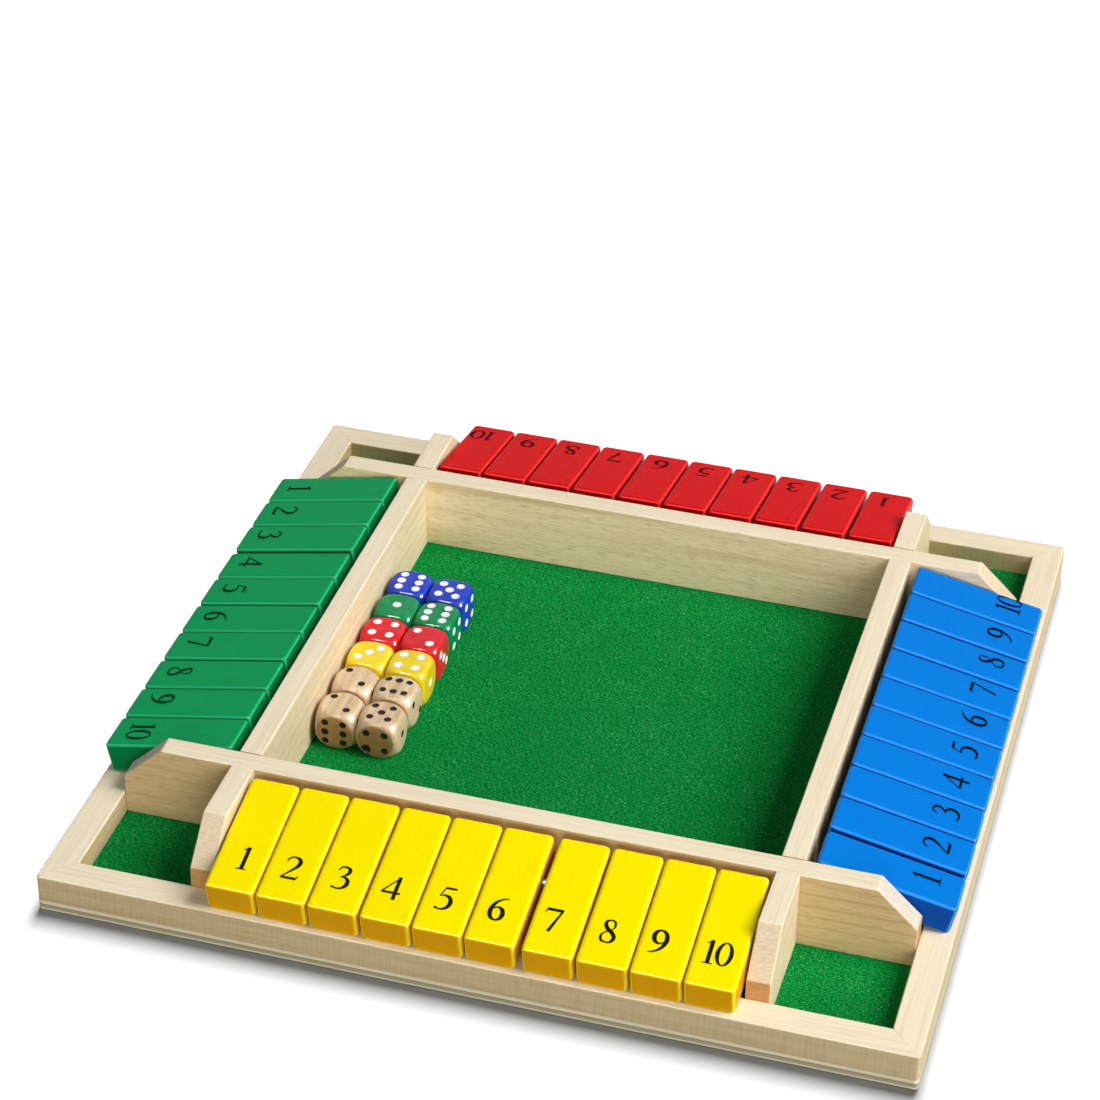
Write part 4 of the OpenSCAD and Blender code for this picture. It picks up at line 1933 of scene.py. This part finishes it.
@dataclass
class Studio:
    """White table, soft lights and the camera at the photograph's angle."""

    lens: float = 104.69
    sensor: float = 36.0
    camera_at: tuple[float, float, float] = (236.016, -895.759, 705.598)
    azimuth: float = 15.677
    elevation: float = 34.083
    roll: float = 0.924
    sky: float = 0.16
    table_size: float = 9000.0
    table_tone: float = 0.3
    table_bounce: float = 0.102
    table_glow: float = 0.03
    # The board is lit from the right, with a fill beside the camera. The table has a
    # light of its own, so that its shadow lies along the front as in the photograph. It
    # is a dark grey under a strong light, so that the board's glow hardly shows on it.
    softboxes: tuple[Softbox, ...] = (
        Softbox("softbox_right", (0.75, -0.02, 0.8), 3.5, (2.07, 2.07), 126.5),
        Softbox("softbox_low", (0.85, -0.2, 0.46), 3.5, (0.95, 0.95), 15.2),
        Softbox("softbox_front", (0.25, -0.94, 0.24), 2.2, (1.2, 0.8), 19.5),
        Softbox("corner_glint", (0.83, -0.26, 0.49), 2.2, (0.8, 0.8), 400.0, glints_only=True),
        Softbox("edge_glint", (-0.22, -0.56, 0.8), 2.2, (0.8, 0.4), 190.0, glints_only=True),
        Softbox("table_light", (0.0, 0.41, 0.91), 2.2, (0.8, 1.52), 227.0, on_table=True),
    )

    def build(self) -> None:
        """Sets up the camera, the world, the table and the lights."""
        self.add_camera()
        self.set_world()
        table = self.add_table()
        for softbox in self.softboxes:
            self.add_softbox(softbox, table)
        bpy.context.scene.view_settings.view_transform = "Standard"

    def add_camera(self) -> None:
        """Stands the camera where the photograph was taken from."""
        azimuth, elevation, roll = map(math.radians, (self.azimuth, self.elevation, self.roll))
        back = Vector(
            (
                math.sin(azimuth) * math.cos(elevation),
                -math.cos(azimuth) * math.cos(elevation),
                math.sin(elevation),
            )
        )
        level = Vector((0, 0, 1)).cross(back).normalized()
        upright = back.cross(level)
        right = math.cos(roll) * level + math.sin(roll) * upright
        up = math.cos(roll) * upright - math.sin(roll) * level
        data = bpy.data.cameras.new("camera")
        data.lens = self.lens
        data.sensor_width = self.sensor
        data.sensor_fit = "HORIZONTAL"
        camera = bpy.data.objects.new("camera", data)
        bpy.context.scene.collection.objects.link(camera)
        turn = Matrix((right, up, back)).transposed().to_4x4()
        camera.matrix_world = Matrix.Translation(Vector(self.camera_at) * MM) @ turn
        bpy.context.scene.camera = camera

    def shade_table_by(self, edges: Sequence[bpy.types.Object]) -> None:
        """Lets only the board's own edges cast the shadow of the table's light.

        Args:
            edges: Pieces that stand at the board's edge.
        """
        lamp = bpy.data.objects["table_light"]
        casters = bpy.data.collections.new("casts_on_table")
        for edge in edges:
            casters.objects.link(edge)
        lamp.light_linking.blocker_collection = casters

    def add_softbox(self, softbox: Softbox, table: bpy.types.Object) -> None:
        """Hangs a softbox that points at the board, for the table alone or for all but the table.

        Args:
            softbox: The light.
            table: The white table.
        """
        data = bpy.data.lights.new(softbox.name, "AREA")
        data.shape = "RECTANGLE"
        data.size, data.size_y = softbox.face
        data.energy = softbox.power
        lamp = bpy.data.objects.new(softbox.name, data)
        bpy.context.scene.collection.objects.link(lamp)
        direction = Vector(softbox.way).normalized()
        lamp.location = direction * softbox.distance
        lamp.rotation_mode = "QUATERNION"
        lamp.rotation_quaternion = direction.to_track_quat("Z", "Y")
        lamp.visible_diffuse = not softbox.glints_only
        lit = bpy.data.collections.new(f"lit_by_{softbox.name}")
        lit.objects.link(table)
        lamp.light_linking.receiver_collection = lit
        lit.collection_objects[0].light_linking.link_state = "INCLUDE" if softbox.on_table else "EXCLUDE"

    def set_world(self) -> None:
        """Lights the board from all round, and shows plain white to the camera and in gloss."""
        world = bpy.data.worlds.new("studio")
        bpy.context.scene.world = world
        world.use_nodes = True
        tree = world.node_tree
        tree.nodes.clear()
        strength = add_node(
            tree, "MapRange", {"To Min": self.sky, "To Max": 1.0}, {"Value": self.seen_share(tree)}
        )
        background = add_node(
            tree, "Background", {"Color": linear("#FFFFFF")}, {"Strength": strength.outputs["Result"]}
        )
        add_node(tree, "OutputWorld", None, {"Surface": background.outputs[0]})

    def seen_share(self, tree: bpy.types.NodeTree) -> bpy.types.NodeSocket:
        """Tells camera, transmission and glossy rays from those that light the object.

        Args:
            tree: Node tree of the world or the table.

        Returns:
            A socket that is 1 on camera, transmission and glossy rays, and otherwise 0.
        """
        path = add_node(tree, "LightPath")
        gloss = add_node(
            tree,
            "Math",
            {"operation": "MAXIMUM"},
            {0: path.outputs["Is Glossy Ray"], 1: path.outputs["Is Transmission Ray"]},
        )
        seen = add_node(
            tree, "Math", {"operation": "MAXIMUM"}, {0: path.outputs["Is Camera Ray"], 1: gloss.outputs[0]}
        )
        return seen.outputs[0]

    def add_table(self) -> bpy.types.Object:
        """Lays the table, white where it is seen and grey where it would brighten the board.

        Returns:
            The table.
        """
        bpy.ops.object.select_all(action="DESELECT")
        bpy.ops.mesh.primitive_plane_add(size=self.table_size * MM)
        table = bpy.context.object
        table.name = "table"
        material, tree, shader = new_material("matt_white_board")
        seen = self.seen_share(tree)
        shade_of = add_node(
            tree, "MapRange", {"To Min": self.table_bounce, "To Max": self.table_tone}, {"Value": seen}
        )
        lift = add_node(tree, "Math", {"operation": "MULTIPLY", 1: self.table_glow}, {0: seen})
        tree.links.new(shade_of.outputs["Result"], shader.inputs["Base Color"])
        tree.links.new(lift.outputs[0], shader.inputs["Emission Strength"])
        shader.inputs["Roughness"].default_value = 0.9
        shader.inputs["Specular IOR Level"].default_value = 0.0
        shader.inputs["Emission Color"].default_value = linear("#FFFFFF")
        table.data.materials.append(material)
        return table


def main() -> None:
    """Builds the studio, the tray, the tiles and the dice, in that order."""
    logging.basicConfig(level=logging.INFO, format="%(name)s: %(message)s")
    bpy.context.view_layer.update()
    studio = Studio()
    studio.build()
    Tray().build()
    rails = [bpy.data.objects[f"rail_{place}"] for place in RAILS]
    studio.shade_table_by([bpy.data.objects["base_board"], *rails])
    shape = TileShape()
    blank = shape.blank()
    numerals = Numerals()
    stamps = {number: numerals.die_for(number) for number in range(1, 11)}
    for row in make_rows():
        row.build(shape, blank, stamps)
    for spare in (blank, *stamps.values()):
        bpy.data.objects.remove(spare)
    DiceSet().build()


if __name__ == "__main__":
    main()
